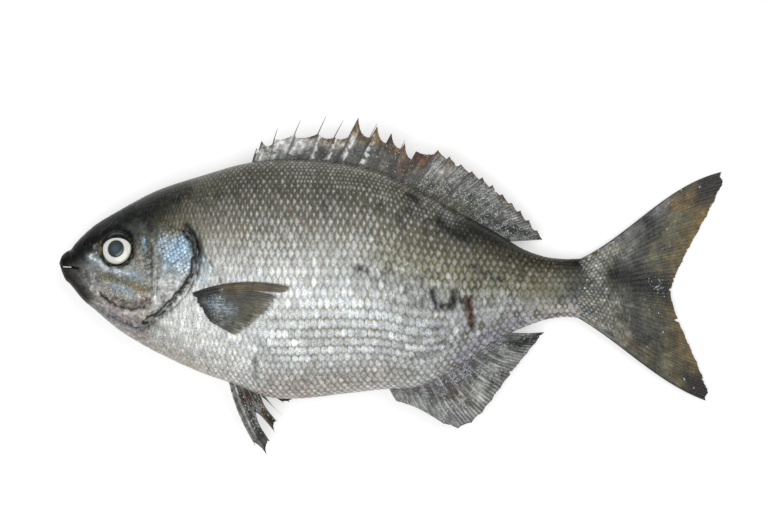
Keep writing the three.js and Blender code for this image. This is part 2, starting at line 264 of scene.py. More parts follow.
def addNode(tree, kind, settings=None, links=None):
    # a setting is a property of the node, or a socket by its name or number
    node = tree.nodes.new("ShaderNode" + kind)
    for name, value in (settings or {}).items():
        if isinstance(name, str) and hasattr(node, name):
            setattr(node, name, value)
        else:
            node.inputs[name].default_value = value
    for name, source in (links or {}).items():
        tree.links.new(source, node.inputs[name])
    return node


def startMaterial(name):
    material = bpy.data.materials.new(name)
    material.use_nodes = True
    material.node_tree.nodes.clear()
    return material, material.node_tree


def endMaterial(tree, shader):
    addNode(tree, "OutputMaterial", links={"Surface": shader.outputs[0]})


def addFlecks(tree, colour, place, scale):
    # silver flecks over a colour, partly the silver of small scales and partly painted glints of the wet
    # surface, each one a cell of a pattern, as dense as the piece says
    amount = addNode(tree, "Attribute", {"attribute_name": "flecks"}).outputs["Fac"]
    sized = addNode(tree, "Mapping", {"Scale": scale}, {"Vector": place})
    cells = addNode(tree, "TexVoronoi", {"Scale": 1}, {"Vector": sized.outputs[0]})
    chance = addNode(tree, "SeparateColor", {}, {0: cells.outputs["Color"]})
    chosen = addNode(tree, "Math", {"operation": "LESS_THAN"}, {0: chance.outputs[0], 1: amount})
    strength = addNode(tree, "Math", {"operation": "MULTIPLY"}, {0: chosen.outputs[0], 1: chance.outputs[1]})
    settings = {"data_type": "RGBA", "B": (*linear("#b9c0c4"), 1)}
    return addNode(tree, "Mix", settings, {"Factor": strength.outputs[0], "A": colour}).outputs[2]


def mottled(tree, colour, grain, darkest, palest):
    # a colour that a grain darkens and lightens
    spread = addNode(tree, "MapRange", {1: 0.3, 2: 0.7, 3: darkest, 4: palest}, {0: grain})
    scaled = addNode(tree, "VectorMath", {"operation": "SCALE"}, {0: colour, "Scale": spread.outputs[0]})
    return scaled.outputs[0]


def dress(piece, material, slot, *nodes):
    piece.data.materials.clear()
    piece.data.materials.append(material)
    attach(piece, "root")
    if nodes:
        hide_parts(*nodes)


def selectOnly(piece):
    bpy.ops.object.select_all(action="DESELECT")
    piece.select_set(True)
    bpy.context.view_layer.objects.active = piece


def smooth(piece, degrees=180):
    # shades a piece smoothly, with hard edges where its faces meet at more than so many degrees
    selectOnly(piece)
    if degrees >= 180:
        bpy.ops.object.shade_smooth()
    else:
        bpy.ops.object.shade_smooth_by_angle(angle=math.radians(degrees))


def named(name):
    # gives the piece that was just added its name
    piece = bpy.context.object
    piece.name = name
    piece.data.name = name
    return piece


def newGrid(name, columns, rows):
    # a flat grid, with each vertex's place across and up it, from 0 to 1
    bpy.ops.object.select_all(action="DESELECT")
    bpy.ops.mesh.primitive_grid_add(x_subdivisions=columns, y_subdivisions=rows, size=2)
    sheet = named(name)
    points = pointsOf(sheet)
    return sheet, (points[:, 0] + 1) / 2, (points[:, 1] + 1) / 2


def newBall(name, around, rings):
    # a ball, with each vertex's ring number from its top pole and its angle about the pole
    bpy.ops.object.select_all(action="DESELECT")
    bpy.ops.mesh.primitive_uv_sphere_add(segments=around, ring_count=rings, radius=1)
    ball = named(name)
    points = pointsOf(ball)
    ring = np.rint(np.arccos(np.clip(points[:, 2], -1, 1)) / math.pi * rings).astype(int)
    return ball, ring, np.arctan2(points[:, 1], points[:, 0])


def applyModifiers(piece):
    selectOnly(piece)
    for modifier in list(piece.modifiers):
        bpy.ops.object.modifier_apply(modifier=modifier.name)


def addWall(piece, thickness):
    wall = piece.modifiers.new("wall", "SOLIDIFY")
    wall.thickness = thickness / 1000
    wall.offset = -1
    applyModifiers(piece)


def recalculate(piece):
    selectOnly(piece)
    bpy.ops.object.mode_set(mode="EDIT")
    bpy.ops.mesh.select_all(action="SELECT")
    bpy.ops.mesh.normals_make_consistent(inside=False)
    bpy.ops.object.mode_set(mode="OBJECT")


def takePattern(pattern):
    # a modelled pattern's points and faces, from which copies are joined. The pattern itself goes
    points = pointsOf(pattern)
    faces = [list(face.vertices) for face in pattern.data.polygons]
    bpy.data.objects.remove(pattern)
    return points, faces


def joinCopies(name, points, faces):
    # one piece from copies of a pattern: the points of each copy, in metres, and the pattern's faces
    count, each = points.shape[:2]
    joined = [[index + copy * each for index in face] for copy in range(count) for face in faces]
    mesh = bpy.data.meshes.new(name)
    mesh.from_pydata(points.reshape(-1, 3).tolist(), [], joined)
    piece = bpy.data.objects.new(name, mesh)
    bpy.context.scene.collection.objects.link(piece)
    return piece


# Countershading: the tones from the belly's edge, 0, up to the back's, 1.
flankShades = [(0, "pearl"), (0.12, "silver"), (0.46, "silver"), (0.68, "steel"), (0.86, "pewter")]
headShades = [(0.24, "pearl"), (0.4, "steel"), (0.52, "steel"), (0.68, "pewter"), (0.84, "slate")]
backComesDown = [(150, 0), (206, 0.1), (240, 0.14), (270, 0.22), (303, 0.36)]  # by this share, tailwards
flankLight = [(60, 0.92), (110, 1), (180, 1), (215, 0.86), (240, 0.76), (280, 0.58), (303, 0.42)]
snoutLight = [(4, 0.15), (16, 0.35), (30, 0.9), (50, 1)]
flankBlend = {
    "borders": (4, 16),  # how far the tones' borders wander and how coarsely, in millimetres
    "fineBorders": (2, 4),
    "marks": (0.8, 3),
    "soiled": 1.3,  # how dark the blotches of the rear flank are, and where they begin
    "soiledBack": (165, 215),
    "soiledUp": (-42, -15),
    "headOver": (3, 78),  # over what length the head's tones end, low on the flank and on the nape
    "nape": (0.7, 0.97),
}


def over(colour, top, weight):
    # lays one colour over those that are there, by a weight for each
    return mix(colour, linear(tones.get(top, top)), np.clip(weight, 0, 1)[..., None])


def stroke(colour, x, y, mark, patches=1.0, shown=1.0):
    # draws a soft line of one tone. One with a strength under 1 comes out patchy
    line, width, tone, strength = mark
    weight = shown * strength * bell(nearLine(x, y, line), width)
    return over(colour, tone, weight * (patches if strength < 1 else 1))


# Marks on the skin: a line of points, half width, tone, strength. The left flank alone has the damage.
headMarks = {
    "crown": ([(20, 23), (38, 30), (58, 38)], 8, "slate", 0.85),
    "nape": ([(56, 33), (68, 39), (76, 43)], 8, "slate", 0.95),
    "napeGreen": ([(64, 24), (78, 26)], 4.5, "olive", 0.6),
    "snoutDark": ([(0, 0), (9, 4), (19, 12)], 6.5, "ink", 1),
    "jawDark": ([(2, -7), (8, -12), (16, -21)], 4.5, "ink", 1),
    "jawSpeckled": ([(22, -11), (23.5, -16)], 2.4, "steel", 0.7),
    "temple": ([(49, 17), (56, 8), (56, -5)], 4.6, "drab", 0.95),
    "cheekDark": ([(50, -2), (55, -14)], 3.2, "pewter", 0.6),
    "streak": ([(21, 2.4), (30, -1.8), (40, -5.4), (51, -8.6)], 2.8, "mist", 1),
    "lilacCheek": ([(28, -13), (38, -17.5)], 3.2, "lilac", 0.3),
    "ochreBand": ([(28, -8), (41, -11.8), (54, -15.8)], 2.4, "olive", 1),
    "cheekPale": ([(34, -14), (46, -18)], 2.4, "mist", 1),
    "cheekLow": ([(34, -21), (44, -24), (53, -24)], 2.4, "slate", 0.7),
    "cheekSpot": ([(53.5, -21.6), (57, -23)], 2, "rust", 0.85),
    "throat": ([(24, -28), (38, -35), (52, -41)], 4.2, "lilac", 0.85),
    "lid": (
        [(26.6, 11.8), (29.6, 16.6), (34.5, 19.5), (40.7, 19.5), (45.5, 15.5), (46.2, 10.6)],
        2.4, "ink", 1,
    ),
    "orbit": ([(27, 4), (29, 1), (33, -1.6), (38, -2.2), (43, -0.8), (46, 3), (47, 8)], 1.5, "ink", 1),
    "yellowCorner": ([(26.6, 6), (26.2, 9), (27, 12.6)], 0.8, "gold", 0.7),
    "lilacCorner": ([(24.4, 8), (24.4, 11)], 0.8, "lilac", 0.8),
    "paleCorner": ([(22.6, 7.5), (22.8, 10.5)], 0.8, "steel", 0.6),
    # painted highlight on the wet skin below the nostrils
    "nostrilHighlight": ([(19.2, 3.6), (21.6, 4.6), (23.8, 5.8)], 0.5, "white", 0.7),
    "streakEdge": ([(20.5, 3.2), (24, 1.2), (30, -1.6)], 0.8, "white", 0.7),
    "streakGlint": ([(27, -1.6), (34, -4.4), (44, -6.8)], 1.2, "white", 0.45),
    "jawPale": ([(22.3, -9.6), (20.8, -15.4), (23.7, -19)], 1.1, "silver", 0.7),
    # painted shade in the jaw's groove
    "jawGroove": ([(25.8, -18), (31.6, -23.3), (38.2, -26.5), (45.4, -27.9), (53, -26.4)], 0.9, "ink", 1),
    "blueTemple": ([(52.6, 15), (53.2, 11), (54.6, 8)], 1.0, "sky", 0.8),
    "brownTemple": ([(48.4, 8), (50.4, 1)], 1.2, "ochre", 0.7),
    "orangeCheek": ([(46, -13.6), (53.4, -17)], 1.4, "gold", 0.4),
    "ridgeLine": ([(59.2, 12), (60, 2), (60.2, -8), (60, -20)], 0.5, "steel", 0.7),
    "ridgeShade": ([(58.2, -8), (58.2, -16), (57, -23)], 0.7, "drab", 0.45),
    # painted shade in the throat's fold
    "throatFold": ([(30, -31.5), (40, -36), (50, -39.5)], 0.8, "slate", 0.7),
    "throatShade": ([(49, -38), (60, -38)], 2.4, "slate", 0.6),
    "throatRed": ([(48, -36), (54, -38.4)], 1.2, "rust", 0.6),
    # the gill slit and its top: painted shadow in the opening
    "slit": (
        [
            (79.8, 19.8), (84, 14.5), (85, 8), (86, 1), (85.2, -6.1), (78.6, -16), (72, -24), (65.4, -31),
            (55, -37),
        ],
        1.9, "ink", 1,
    ),
    "slitTopShadow": ([(79, 22), (85, 15), (87.4, 7), (87.4, 1)], 2.7, "ink", 1),
    "shoulderSilver": ([(90, 1), (91, -6), (88, -11)], 3.2, "mist", 0.95),
    "shoulderEdge": ([(88.6, 7), (93, 0), (98, -8.5), (100, -12)], 0.9, "drab", 0.8),
}
flankMarks = {
    "shoulder": ([(90, 36), (104, 45), (118, 54)], 9, "drab", 0.5),
    "underFin": ([(250, 21), (262, 15), (284, 6)], 10, "ink", 1),
    "rootTop": ([(284, 3), (304, -2), (318, 0)], 9.5, "ink", 1),
    "rootMiddle": ([(282, -9), (300, -13), (316, -15)], 7, "slate", 0.95),
    "ventRoot": ([(240, -58), (258, -46), (276, -37)], 6, "lilac", 1),
    "breast": ([(74, -38), (92, -50), (106, -62)], 12, "white", 0.6),
    "lowFront": ([(128, -30), (148, -36), (166, -38)], 9, "steel", 0.9),
    "breastSilver": ([(106, -42), (112, -54), (113, -64)], 4, "white", 0.5),
    "oliveFront": ([(168, 42), (177, 38)], 5, "olive", 0.25),
    "oliveBack": ([(172, 52), (190, 48), (205, 43)], 4, "olive", 0.25),
    "rootPale": ([(288, -28), (300, -28), (314, -31)], 4, "pearl", 0.8),
    "bellyPink": ([(134, -73), (160, -74), (196, -67)], 8, "pearl", 0.9),
    # painted shade of three folds above the vent fin, which have no relief
    "creaseShadeHigh": ([(214, -42), (230, -39), (244, -35)], 0.9, "drab", 0.7),
    "creaseShadeMiddle": ([(222, -50), (236, -46.5), (250, -41)], 0.9, "drab", 0.7),
    "creaseShadeLow": ([(210, -58), (226, -54), (242, -48)], 0.9, "drab", 0.6),
    "bellyStain": ([(202, -64), (212, -66)], 3.4, "ochre", 0.4),
    "bellyOrange": ([(146, -79.6), (151, -80)], 1.3, "ochre", 0.6),
    "bellyOrangeRear": ([(157, -81), (164, -80.4)], 1.1, "ochre", 0.5),
    "sheath": ([(124, 60), (140, 60.8), (158, 60), (176, 57), (197, 51.6)], 1.2, "steel", 0.8),
    "rearGrey": ([(196, 2), (222, -6), (250, -8)], 14, "slate", 0.4),
    "rearWarm": ([(206, 6), (240, -4), (292, -12)], 15, "olive", 0.9),
    "sideLine": (
        [(95, 24), (111, 27.5), (158, 27.8), (188, 21.9), (215, 11.8), (231, 4), (266, -7.4), (322, -14.9)],
        0.9, "drab", 0.35,
    ),
    "smudgeScapular": ([(159, 44), (161, 36), (163, 30)], 3.2, "slate", 0.35),
    "smudgeFront": ([(181, -3), (185, -5)], 3.2, "slate", 0.9),
    "smudgeMiddle": ([(196, -6.5), (201, -7)], 2.8, "drab", 0.9),
    "smudgeHigh": ([(205, 27), (209, 21)], 2.0, "slate", 0.6),
    "smudgeNearFin": ([(211, 41), (216, 38)], 2.6, "ink", 1),
    "smudgeBack": ([(229, 25), (236, 19), (246, 14)], 3.4, "slate", 1),
    "smudgeLow": ([(209.5, -15), (211.5, -17.5)], 1.8, "drab", 0.85),
    "smudgeLower": ([(212, -21.5), (214, -23)], 1.4, "pewter", 0.7),
    "smudgeTailward": ([(250, -2), (260, -8), (268, -11)], 2.6, "slate", 0.7),
    "smudgeBreast": ([(119, -56), (120, -66), (121, -73)], 1.2, "drab", 0.8),
    "smudgeThroat": ([(121, -47), (127, -52), (131, -57)], 3.0, "pewter", 0.6),
    "scar": ([(225.2, -17), (226, -22.5), (228, -25.8), (237, -26), (238.6, -17.6)], 2.5, "ink", 1),
    "scarRear": ([(241, -22.6), (244.5, -24.5)], 1.5, "slate", 1),
    "woundEdge": ([(243.5, -21), (245, -28)], 1.6, "drab", 0.8),
    "wound": ([(246.6, -22.4), (247.8, -29), (249, -38)], 3.0, "blood", 1),
    "woundRed": ([(248.6, -25), (249.6, -36)], 1.1, "rust", 1),
}


def paintFlank(x, y, leftSide):
    # the shading from belly to back with ragged borders, then the marks, one over another
    wobbleX, wobbleY = wander(x, y, *flankBlend["borders"], (3.0, 9.0))
    far, grain = flankBlend["fineBorders"]
    wobbleY = wobbleY + far * roughly(x, y, grain, 7.0)
    top, bottom = backAt(x), bellyAt(x)
    share = np.clip((wobbleY - bottom) / (top - bottom), 0, 1)
    trunk = toned(flankShades, np.clip(share + np.interp(x, *zip(*backComesDown)), 0, 1))
    trunk = trunk * np.interp(wobbleX, *zip(*flankLight))[..., None]
    soiled = flankBlend["soiled"] * ease(x, *flankBlend["soiledBack"]) * ease(y, *flankBlend["soiledUp"])
    trunk = trunk * np.exp(soiled * np.minimum(roughly(x, y, 7, 61.0), 0.15))[..., None]
    head = toned(headShades, share) * np.interp(x, *zip(*snoutLight))[..., None]
    fading = mix(*flankBlend["headOver"], ease(share, *flankBlend["nape"]))
    colour = mix(head, trunk, ease(x - scaleFrontAt(y), -3, fading)[..., None])
    nearX, nearY = wander(x, y, *flankBlend["marks"], (13.0, 17.0))
    patches = patchy(x, y, 2.2, 23.0, 0.25)
    for mark in headMarks.values():
        colour = stroke(colour, nearX, nearY, mark, patches)
    for name, mark in flankMarks.items():
        isDamage = name.startswith(("scar", "wound", "smudge"))
        colour = stroke(colour, nearX, nearY, mark, patches, np.where(leftSide | (not isDamage), 1, 0))
    return colour


def gritty(colour, x, y, strength):
    # the mottling of bare wet skin: dark creases, pale glints and a hint of blue or tan
    fine = roughly(x, y, 1.4, 111.0, 4)
    broad = roughly(x, y, 4.5, 117.0)
    warm = 0.22 * roughly(x, y, 3.2, 121.0)
    shade = np.exp(strength * (0.95 * fine + 1.3 * broad))
    hue = np.stack([1 + strength * warm, np.ones_like(warm), 1 - strength * warm], axis=-1)
    return np.clip(colour * shade[:, None] * hue, 0, 0.9)


# Body: the head, the trunk, and the flesh that the tail fin grows from.
bodyShape = {
    "around": 340,
    "snoutRings": [0, 0, 0.12, 0.35, 0.7],
    "headRings": (1.1, 92, 0.5),  # from, to and pitch, which is fine for the head's features
    "trunkRings": (92, 326, 2.9),
    "rearRings": [327, 328.6, 330, 331.2, 332.2, 332.8, 333, 333],
    "flankCrowding": 0.22,  # draws a ring's points together on the flanks
    "underScales": -0.75,
    "underGillCover": -1.1,
    "scaleFront": [(-85, 68), (-60, 63), (-50, 58), (-39, 52)],  # where the breast's scales begin
    "napeFront": [(21.5, 68), (26, 60), (31, 50), (37, 43), (60, 41)],
    # painted shadow in the mouth's groove
    "mouthShadow": "#0b0a0a",
    # painted shadow in the eye's socket, round the eyeball
    "socketShadow": "#121212",
    # painted shade: how dark the skin under the scale plates is
    "shadeUnderScales": 0.4,
}
eyeShape = {
    "x": 36.8, "y": 8.1, "radius": 9.1, "bulge": 2.2, "depth": 5, "pupil": 4.7,
    "socket": 9.4,  # its radius, and how deep it is
    "socketDepth": 3.4,
    "rims": [(10.3, 0.9, 0.55), (12.2, 0.8, -0.3)],  # the radius, half width and height of a ring round it
}

# Ridges and grooves of the head: a line of points, half width, height.
relief = {
    "mouth": ([(-1, -2.7), (4, -2.7), (9, -2.9), (12.5, -3.5)], 0.5, -2.2),
    "upperLip": ([(1.5, 1.4), (5, 1.6), (9, 0.4), (12, -1.2)], 1.9, 0.5),
    "lowerLip": ([(2.5, -5), (6, -5.5), (10, -5), (13, -4.2)], 1.2, 0.45),
    "lipGroove": ([(7.1, 7.7), (12.2, 2.8), (15.5, -0.8), (16.4, -5.6), (18.6, -8.6)], 0.9, -0.7),
    "jawbone": ([(17.5, 2), (19.5, -3), (20.5, -8)], 1.6, 0.4),
    "jawboneGroove": ([(21.5, 0), (23.3, -5), (23.5, -9), (21.5, -12)], 0.7, -0.45),
    "jawGroove": ([(25.8, -18), (31.6, -23.3), (38.2, -26.5), (45.4, -27.9), (53, -26.4)], 1.0, -1.3),
    "jawFold": ([(24, -22), (31, -27), (40, -31), (52, -31.5)], 2.0, 0.5),
    "throatFold": ([(30, -31.5), (40, -36), (50, -39.5)], 0.8, -0.6),
    "cheekBone": ([(21, 1), (28.7, -2.2), (37.4, -5.4), (46, -7.2), (53.3, -9.4)], 2.3, 0.35),
    "cheekBoneEdge": ([(22, -2.2), (29, -5.4), (37.5, -8.8), (46, -10.8), (54, -13)], 0.8, -0.4),
    "preopercle": ([(58.2, 9), (59.2, -3.5), (59.4, -13.2), (59.2, -21.6), (55.5, -27)], 0.9, 0.35),
    "preopercleGroove": ([(56.4, -6), (56.8, -14), (56, -21)], 1.2, -0.2),
    "brow": ([(27, 17.5), (33, 22), (41, 22.4), (48.5, 17)], 1.6, 0.5),
    "nostrilFront": ([(15.7, 9.6), (16.3, 9.2)], 0.8, -1.2),
    "nostrilRear": ([(17.8, 12.2), (18.8, 11.6)], 0.85, -1.3),
    "nostrilRim": ([(14.6, 8.4), (15.2, 11), (17.3, 8.6)], 0.6, 0.3),
    "slit": (headMarks["slit"][0], 1.5, -1.5),
    "shoulderEdge": ([(88.6, 7), (93, 0), (98, -8.5), (100, -12)], 1.0, 0.35),
}

breastFrontAt = through(bodyShape["scaleFront"])
napeFrontAt = through(bodyShape["napeFront"])


def scaleFrontAt(y):
    # where the scales begin, behind the head
    behindGill = np.where(y > gillHigh, napeFrontAt(y), gillRearAt(y) - 1.2)
    return np.where(y < gillLow, breastFrontAt(y), behindGill)


def bodyLift(x, y, across):
    # how far the skin stands in or out, by its place in the side view, the same on both flanks
    scaled = ease(x - scaleFrontAt(y), -0.6, 1.4)
    lift = bodyShape["underScales"] * scaled
    underGill = ease(x - gillFrontAt(y), 0.5, 3) * ease(gillRearAt(y) - x, -0.5, 0.5)
    underGill *= between(y, (gillLow, gillLow + 2.5), (gillHigh - 2.5, gillHigh))
    lift = mix(lift, bodyShape["underGillCover"], underGill)
    for line, width, height in relief.values():
        lift = lift + height * bell(nearLine(x, y, line), width) * ease(across, 0.05, 0.25)
    ring = np.hypot(x - eyeShape["x"], y - eyeShape["y"])
    for radius, width, height in eyeShape["rims"]:
        lift = lift + height * bell(ring - radius, width)
    return lift - eyeShape["socketDepth"] * (1 - ease(ring, 8.7, 9.3))


# how densely silver flecks, partly painted glints, lie on bare skin: more where it is pale
def sparseFlecks(colour):
    return 0.02 * ease(colour.mean(axis=1), 0.08, 0.4)


def makeBody():
    head, trunk = np.arange(*bodyShape["headRings"]), np.arange(*bodyShape["trunkRings"])
    places = np.concatenate([bodyShape["snoutRings"], head, trunk, bodyShape["rearRings"]])
    body, ring, turn = newBall("fishBody", bodyShape["around"], len(places) - 1)
    angle = turn - bodyShape["flankCrowding"] * np.sin(2 * turn)
    x = places[ring]
    pole = (ring == 0) | (ring == len(places) - 1)
    _, y, _ = onSkin(x, angle)
    across = np.abs(np.cos(angle))
    lift = bodyLift(x, y, across)
    grain = roughly(x, y + 40 * np.sign(np.cos(angle)), 2.2, 21.0)
    lift = lift + 0.1 * grain * ease(x, 2, 8)
    lift = lift * ease(x, 0, 1.5)
    _, y, z = onSkin(x, angle, lift)
    y = np.where(pole, mix(bellyAt(x), backAt(x), fishShape["widestShare"]), y)
    z = np.where(pole, middleAt(x), z)
    movePoints(body, x, y, z)
    smooth(body)
    around = angle * (backAt(x) - bellyAt(x)) / 2  # round the body, so that the mottling turns over the back
    colour = gritty(paintFlank(x, y, np.cos(angle) > 0), x, around, 0.5 * ease(x, 6, 20))
    # painted shadow along the closed mouth's groove
    inMouth = bell(nearLine(x, y, relief["mouth"][0]), 0.5)
    colour = over(colour, bodyShape["mouthShadow"], 0.9 * inMouth)
    # the skin under the scale plates darkened as painted shade
    hidden = ease(x - scaleFrontAt(y), 0, 2)[:, None]
    colour = mix(colour, colour * bodyShape["shadeUnderScales"], hidden)
    # the socket round the eyeball painted as shadow
    inSocket = np.hypot(x - eyeShape["x"], y - eyeShape["y"]) < eyeShape["socket"]
    colour[inSocket] = linear(bodyShape["socketShadow"])
    tint(body, colour, sparseFlecks(colour))
    return body


def wetSkin():
    # Fish skin without scales, coated in slime: dark and glossy, with fine pores and blotches.
    material, tree = startMaterial("wetFishSkin")
    place = addNode(tree, "TexCoord").outputs["Object"]
    own = addNode(tree, "Attribute", {"attribute_name": "tint"}).outputs["Color"]
    blotch = addNode(tree, "TexNoise", {"Scale": 420, "Detail": 4, "Roughness": 0.6}, {"Vector": place})
    colour = mottled(tree, own, blotch.outputs["Fac"], 0.62, 1.4)
    colour = addFlecks(tree, colour, place, (1400, 1400, 1400))
    settings = {"feature": "SMOOTH_F1", "Scale": 800, "Smoothness": 0.6}
    pores = addNode(tree, "TexVoronoi", settings, {"Vector": place})
    sources = {0: pores.outputs["Distance"], 1: blotch.outputs["Fac"]}
    height = addNode(tree, "Math", {"operation": "ADD"}, sources)
    bump = addNode(tree, "Bump", {"Strength": 0.5, "Distance": 0.00025}, {"Height": height.outputs[0]})
    gloss = addNode(tree, "MapRange", {1: 0.35, 2: 0.65, 3: 0.28, 4: 0.5}, {0: blotch.outputs["Fac"]})
    shader = addNode(
        tree,
        "BsdfPrincipled",
        {
            "IOR": 1.36, "Specular IOR Level": 0.22,
            "Coat Weight": 0.14, "Coat Roughness": 0.1, "Coat IOR": 1.33,
        },
        {"Base Color": colour, "Roughness": gloss.outputs[0], "Normal": bump.outputs[0]},
    )
    endMaterial(tree, shader)
    return material


skinMaterial = wetSkin()
body = makeBody()
dress(body, skinMaterial, "scaled_skin", "body")
print("body skin: done")

# Scales: rows along the body, each scale a thin plate whose rear edge lies over the next one.
scaleShape = {
    "rows": [  # a row's number, and how far it stands from the flank's middle, in degrees
        (-24, -111), (-12.8, -60), (-6, -30), (-1.8, -10), (0, -1.8), (2.6, 10), (7.3, 30), (17.6, 70),
        (26, 106),
    ],
    "rowsEachWay": 23,
    "steepest": 93,
    "crowding": 0.74,  # how fast rows run out where the body is less than its tallest
    "tallest": 145,
    "pitches": [(40, 1.5), (62, 1.9), (85, 2.5), (112, 3.4), (150, 3.8), (255, 3.9), (300, 3.8), (333, 3.2)],
    "pitchByHeight": [
        (-100, 0.8), (-60, 0.9), (-30, 1.0), (5, 1.0), (20, 0.84), (38, 0.76), (65, 0.72), (100, 0.68),
    ],
    "gaps": (0.7, 1.38),  # a scale is dropped under the first and one is added over the second, in pitches
    "reach": (40, 319),  # from the snout, and a row may begin a little earlier
    "earlier": 2,
    "corners": 12,  # of a plate's rim
    "inset": 0.36,  # how far inside the rim a plate's inner ring lies
    "heart": 0.45,  # a plate's heart, its rear and front ends and its tips, in pitches from its place
    "rear": 0.95,
    "front": -0.55,
    "tips": 0.35,
    "slope": 0.3,
    "base": -0.42,
    "crown": 0.12,
    "thickness": 0.3,
    "shine": (2.45, 1.4),  # the bright patch, a painted highlight over the scale's silver, against the skin's own colour, where that is dark and where pale
    "shade": (0.62, 0.52),  # the rim round it likewise: dark pigment between the scales, with painted shade where each plate's edge steps down
    "shineHue": (0.97, 1.0, 1.05),
    "shadeHue": (1.1, 1.0, 0.8),
    "uneven": (0.12, 0.01),  # how far plates differ in brightness and in hue
    "joinedNarrower": 0.55,  # how much patches that join along a row shrink across it
    "leafByHeight": [
        (-100, 0.38), (-55, 0.42), (-30, 0.48), (-8, 0.45), (8, 0.37), (25, 0.26), (60, 0.19), (100, 0.18),
    ],
}
rowHeightAt = through(scaleShape["rows"])
pitchBackAt = through(scaleShape["pitches"])
pitchUpAt = through(scaleShape["pitchByHeight"])
leafAt = through(scaleShape["leafByHeight"])


def rowStretch(x):
    # rows run out along the back and belly where the body narrows, so the scales shrink less than it
    tall = np.maximum(backAt(x) - bellyAt(x), 20)
    return np.clip((scaleShape["tallest"] / tall) ** scaleShape["crowding"], 0.9, 3)


def rowAngle(x, row):
    return np.radians(rowHeightAt(row * rowStretch(x)))


def pitchAt(x, row):
    return float(pitchBackAt(x) * pitchUpAt(math.degrees(float(rowAngle(x, row)))))


def nextRow(line, row):
    # each scale starts between two of the row before, with one dropped or added where they crowd or gape
    crowded, gaping = scaleShape["gaps"]
    start, end = scaleShape["reach"]
    fresh = [(a + b) / 2 for a, b in zip(line, line[1:])]
    settled = fresh[:1]
    for place in fresh[1:]:
        gap = (place - settled[-1]) / pitchAt(place, row)
        if gap > gaping:
            settled.append((place + settled[-1]) / 2)
        if gap > crowded:
            settled.append(place)
    before, after = settled[0] - pitchAt(settled[0], row), settled[-1] + pitchAt(settled[-1], row)
    if before > start - scaleShape["earlier"]:
        settled.insert(0, before)
    if after < end:
        settled.append(after)
    evened = list(settled)
    for _ in range(3):
        for i in range(1, len(evened) - 1):
            evened[i] += 0.3 * ((evened[i - 1] + evened[i + 1]) / 2 - evened[i])
    return evened


def scaleSpots():
    start, end = scaleShape["reach"]
    middle = [float(start)]
    while middle[-1] < end:
        middle.append(middle[-1] + pitchAt(middle[-1], 0))
    rows = {0: middle}
    for way in (1, -1):
        line = middle
        for number in range(1, scaleShape["rowsEachWay"] + 1):
            line = nextRow(line, way * number)
            rows[way * number] = line
    spots = []
    for row, line in rows.items():
        for x in line:
            angle = float(rowAngle(x, row))
            y = float(onSkin(x, angle)[1])
            if abs(angle) < math.radians(scaleShape["steepest"]) and x > float(scaleFrontAt(y)) - 0.3:
                spots.append((x, row, pitchAt(x, row)))
    return np.array(spots)


def platePattern():
    # one scale: a disc with an inner ring on its upper face, drawn to a point in the middle
    bpy.ops.object.select_all(action="DESELECT")
    bpy.ops.mesh.primitive_cylinder_add(vertices=scaleShape["corners"], radius=1, depth=1)
    plate = bpy.context.object
    bpy.ops.object.mode_set(mode="EDIT")
    bpy.ops.mesh.select_mode(type="FACE")
    bpy.ops.mesh.select_all(action="DESELECT")
    bpy.ops.object.mode_set(mode="OBJECT")
    for face in plate.data.polygons:
        face.select = face.normal.z > 0.9
    bpy.ops.object.mode_set(mode="EDIT")
    bpy.ops.mesh.inset(thickness=scaleShape["inset"])
    bpy.ops.mesh.poke()
    bpy.ops.object.mode_set(mode="OBJECT")
    return takePattern(plate)


def plateShape(points):
    # the disc's points as a scale's: along the body in pitches, across in rows, and height
    heart = scaleShape["heart"]
    out = np.hypot(points[:, 0], points[:, 1])
    turn = np.arctan2(points[:, 1], points[:, 0])
    quarters = turn / (math.pi / 2)
    wide = np.where(np.abs(quarters) > 1, np.sign(quarters) * (2 - np.abs(quarters)), quarters)
    rear = scaleShape["rear"] - (scaleShape["rear"] - scaleShape["tips"]) * ease(np.abs(wide), 0.15, 0.85)
    front = scaleShape["front"] + (scaleShape["tips"] - scaleShape["front"]) * wide**2
    rim = np.where(np.cos(turn) > 0, rear, front)
    along = heart + out * (rim - heart)
    across = out * wide
    top = points[:, 2] > 0
    height = scaleShape["base"] + scaleShape["slope"] * along + scaleShape["crown"] * (1 - out**2)
    return along, across, np.where(top, height, height - scaleShape["thickness"])


platePoints, plateFaces = platePattern()
plateAlong, plateAcross, plateHeight = plateShape(platePoints)
fromHeart = plateAlong - scaleShape["heart"]


def layPlates(name, points, ground, leaf, slot, contrast=1.0, joinedUp=0.0):
    # joins plates into one piece. Ground is the skin's colour at each point, and leaf is how wide the bright
    # patch on a plate is.
    # The patch is a painted highlight and its rim is pigment with painted shade. The material draws that
    # patch on the plate's own map
    count, each = points.shape[:2]
    plates = joinCopies(name, points, plateFaces)
    smooth(plates, 50)
    corners = np.empty(len(plates.data.loops), int)
    plates.data.loops.foreach_get("vertex_index", corners)
    flat = np.stack([fromHeart, plateAcross], axis=-1)[corners % each]
    joined = np.broadcast_to(joinedUp, (count,))[corners // each]  # joins the patches along a row
    flat[:, 0] *= 1 - joined
    flat[:, 1] *= 1 + scaleShape["joinedNarrower"] * joined
    plates.data.uv_layers.new(name="plate").data.foreach_set("uv", flat.ravel())
    pale = ease(ground.mean(axis=(1, 2))[:, None, None], 0.03, 0.4)
    light, hue = scaleShape["uneven"]
    uneven = dice.normal(1, light, (count, 1, 1)) * dice.normal(1, hue, (count, 1, 3))
    shine = ground * mix(1, mix(*scaleShape["shine"], pale), contrast) * uneven
    shade = ground * mix(1, mix(*scaleShape["shade"], pale), contrast)
    colourLayer(plates, "shine", (shine * scaleShape["shineHue"]).reshape(-1, 3))
    colourLayer(plates, "shade", (shade * scaleShape["shadeHue"]).reshape(-1, 3))
    amountLayer(plates, "leaf", np.repeat(np.broadcast_to(leaf, (count,)), each))
    dress(plates, scaleMaterial, slot)


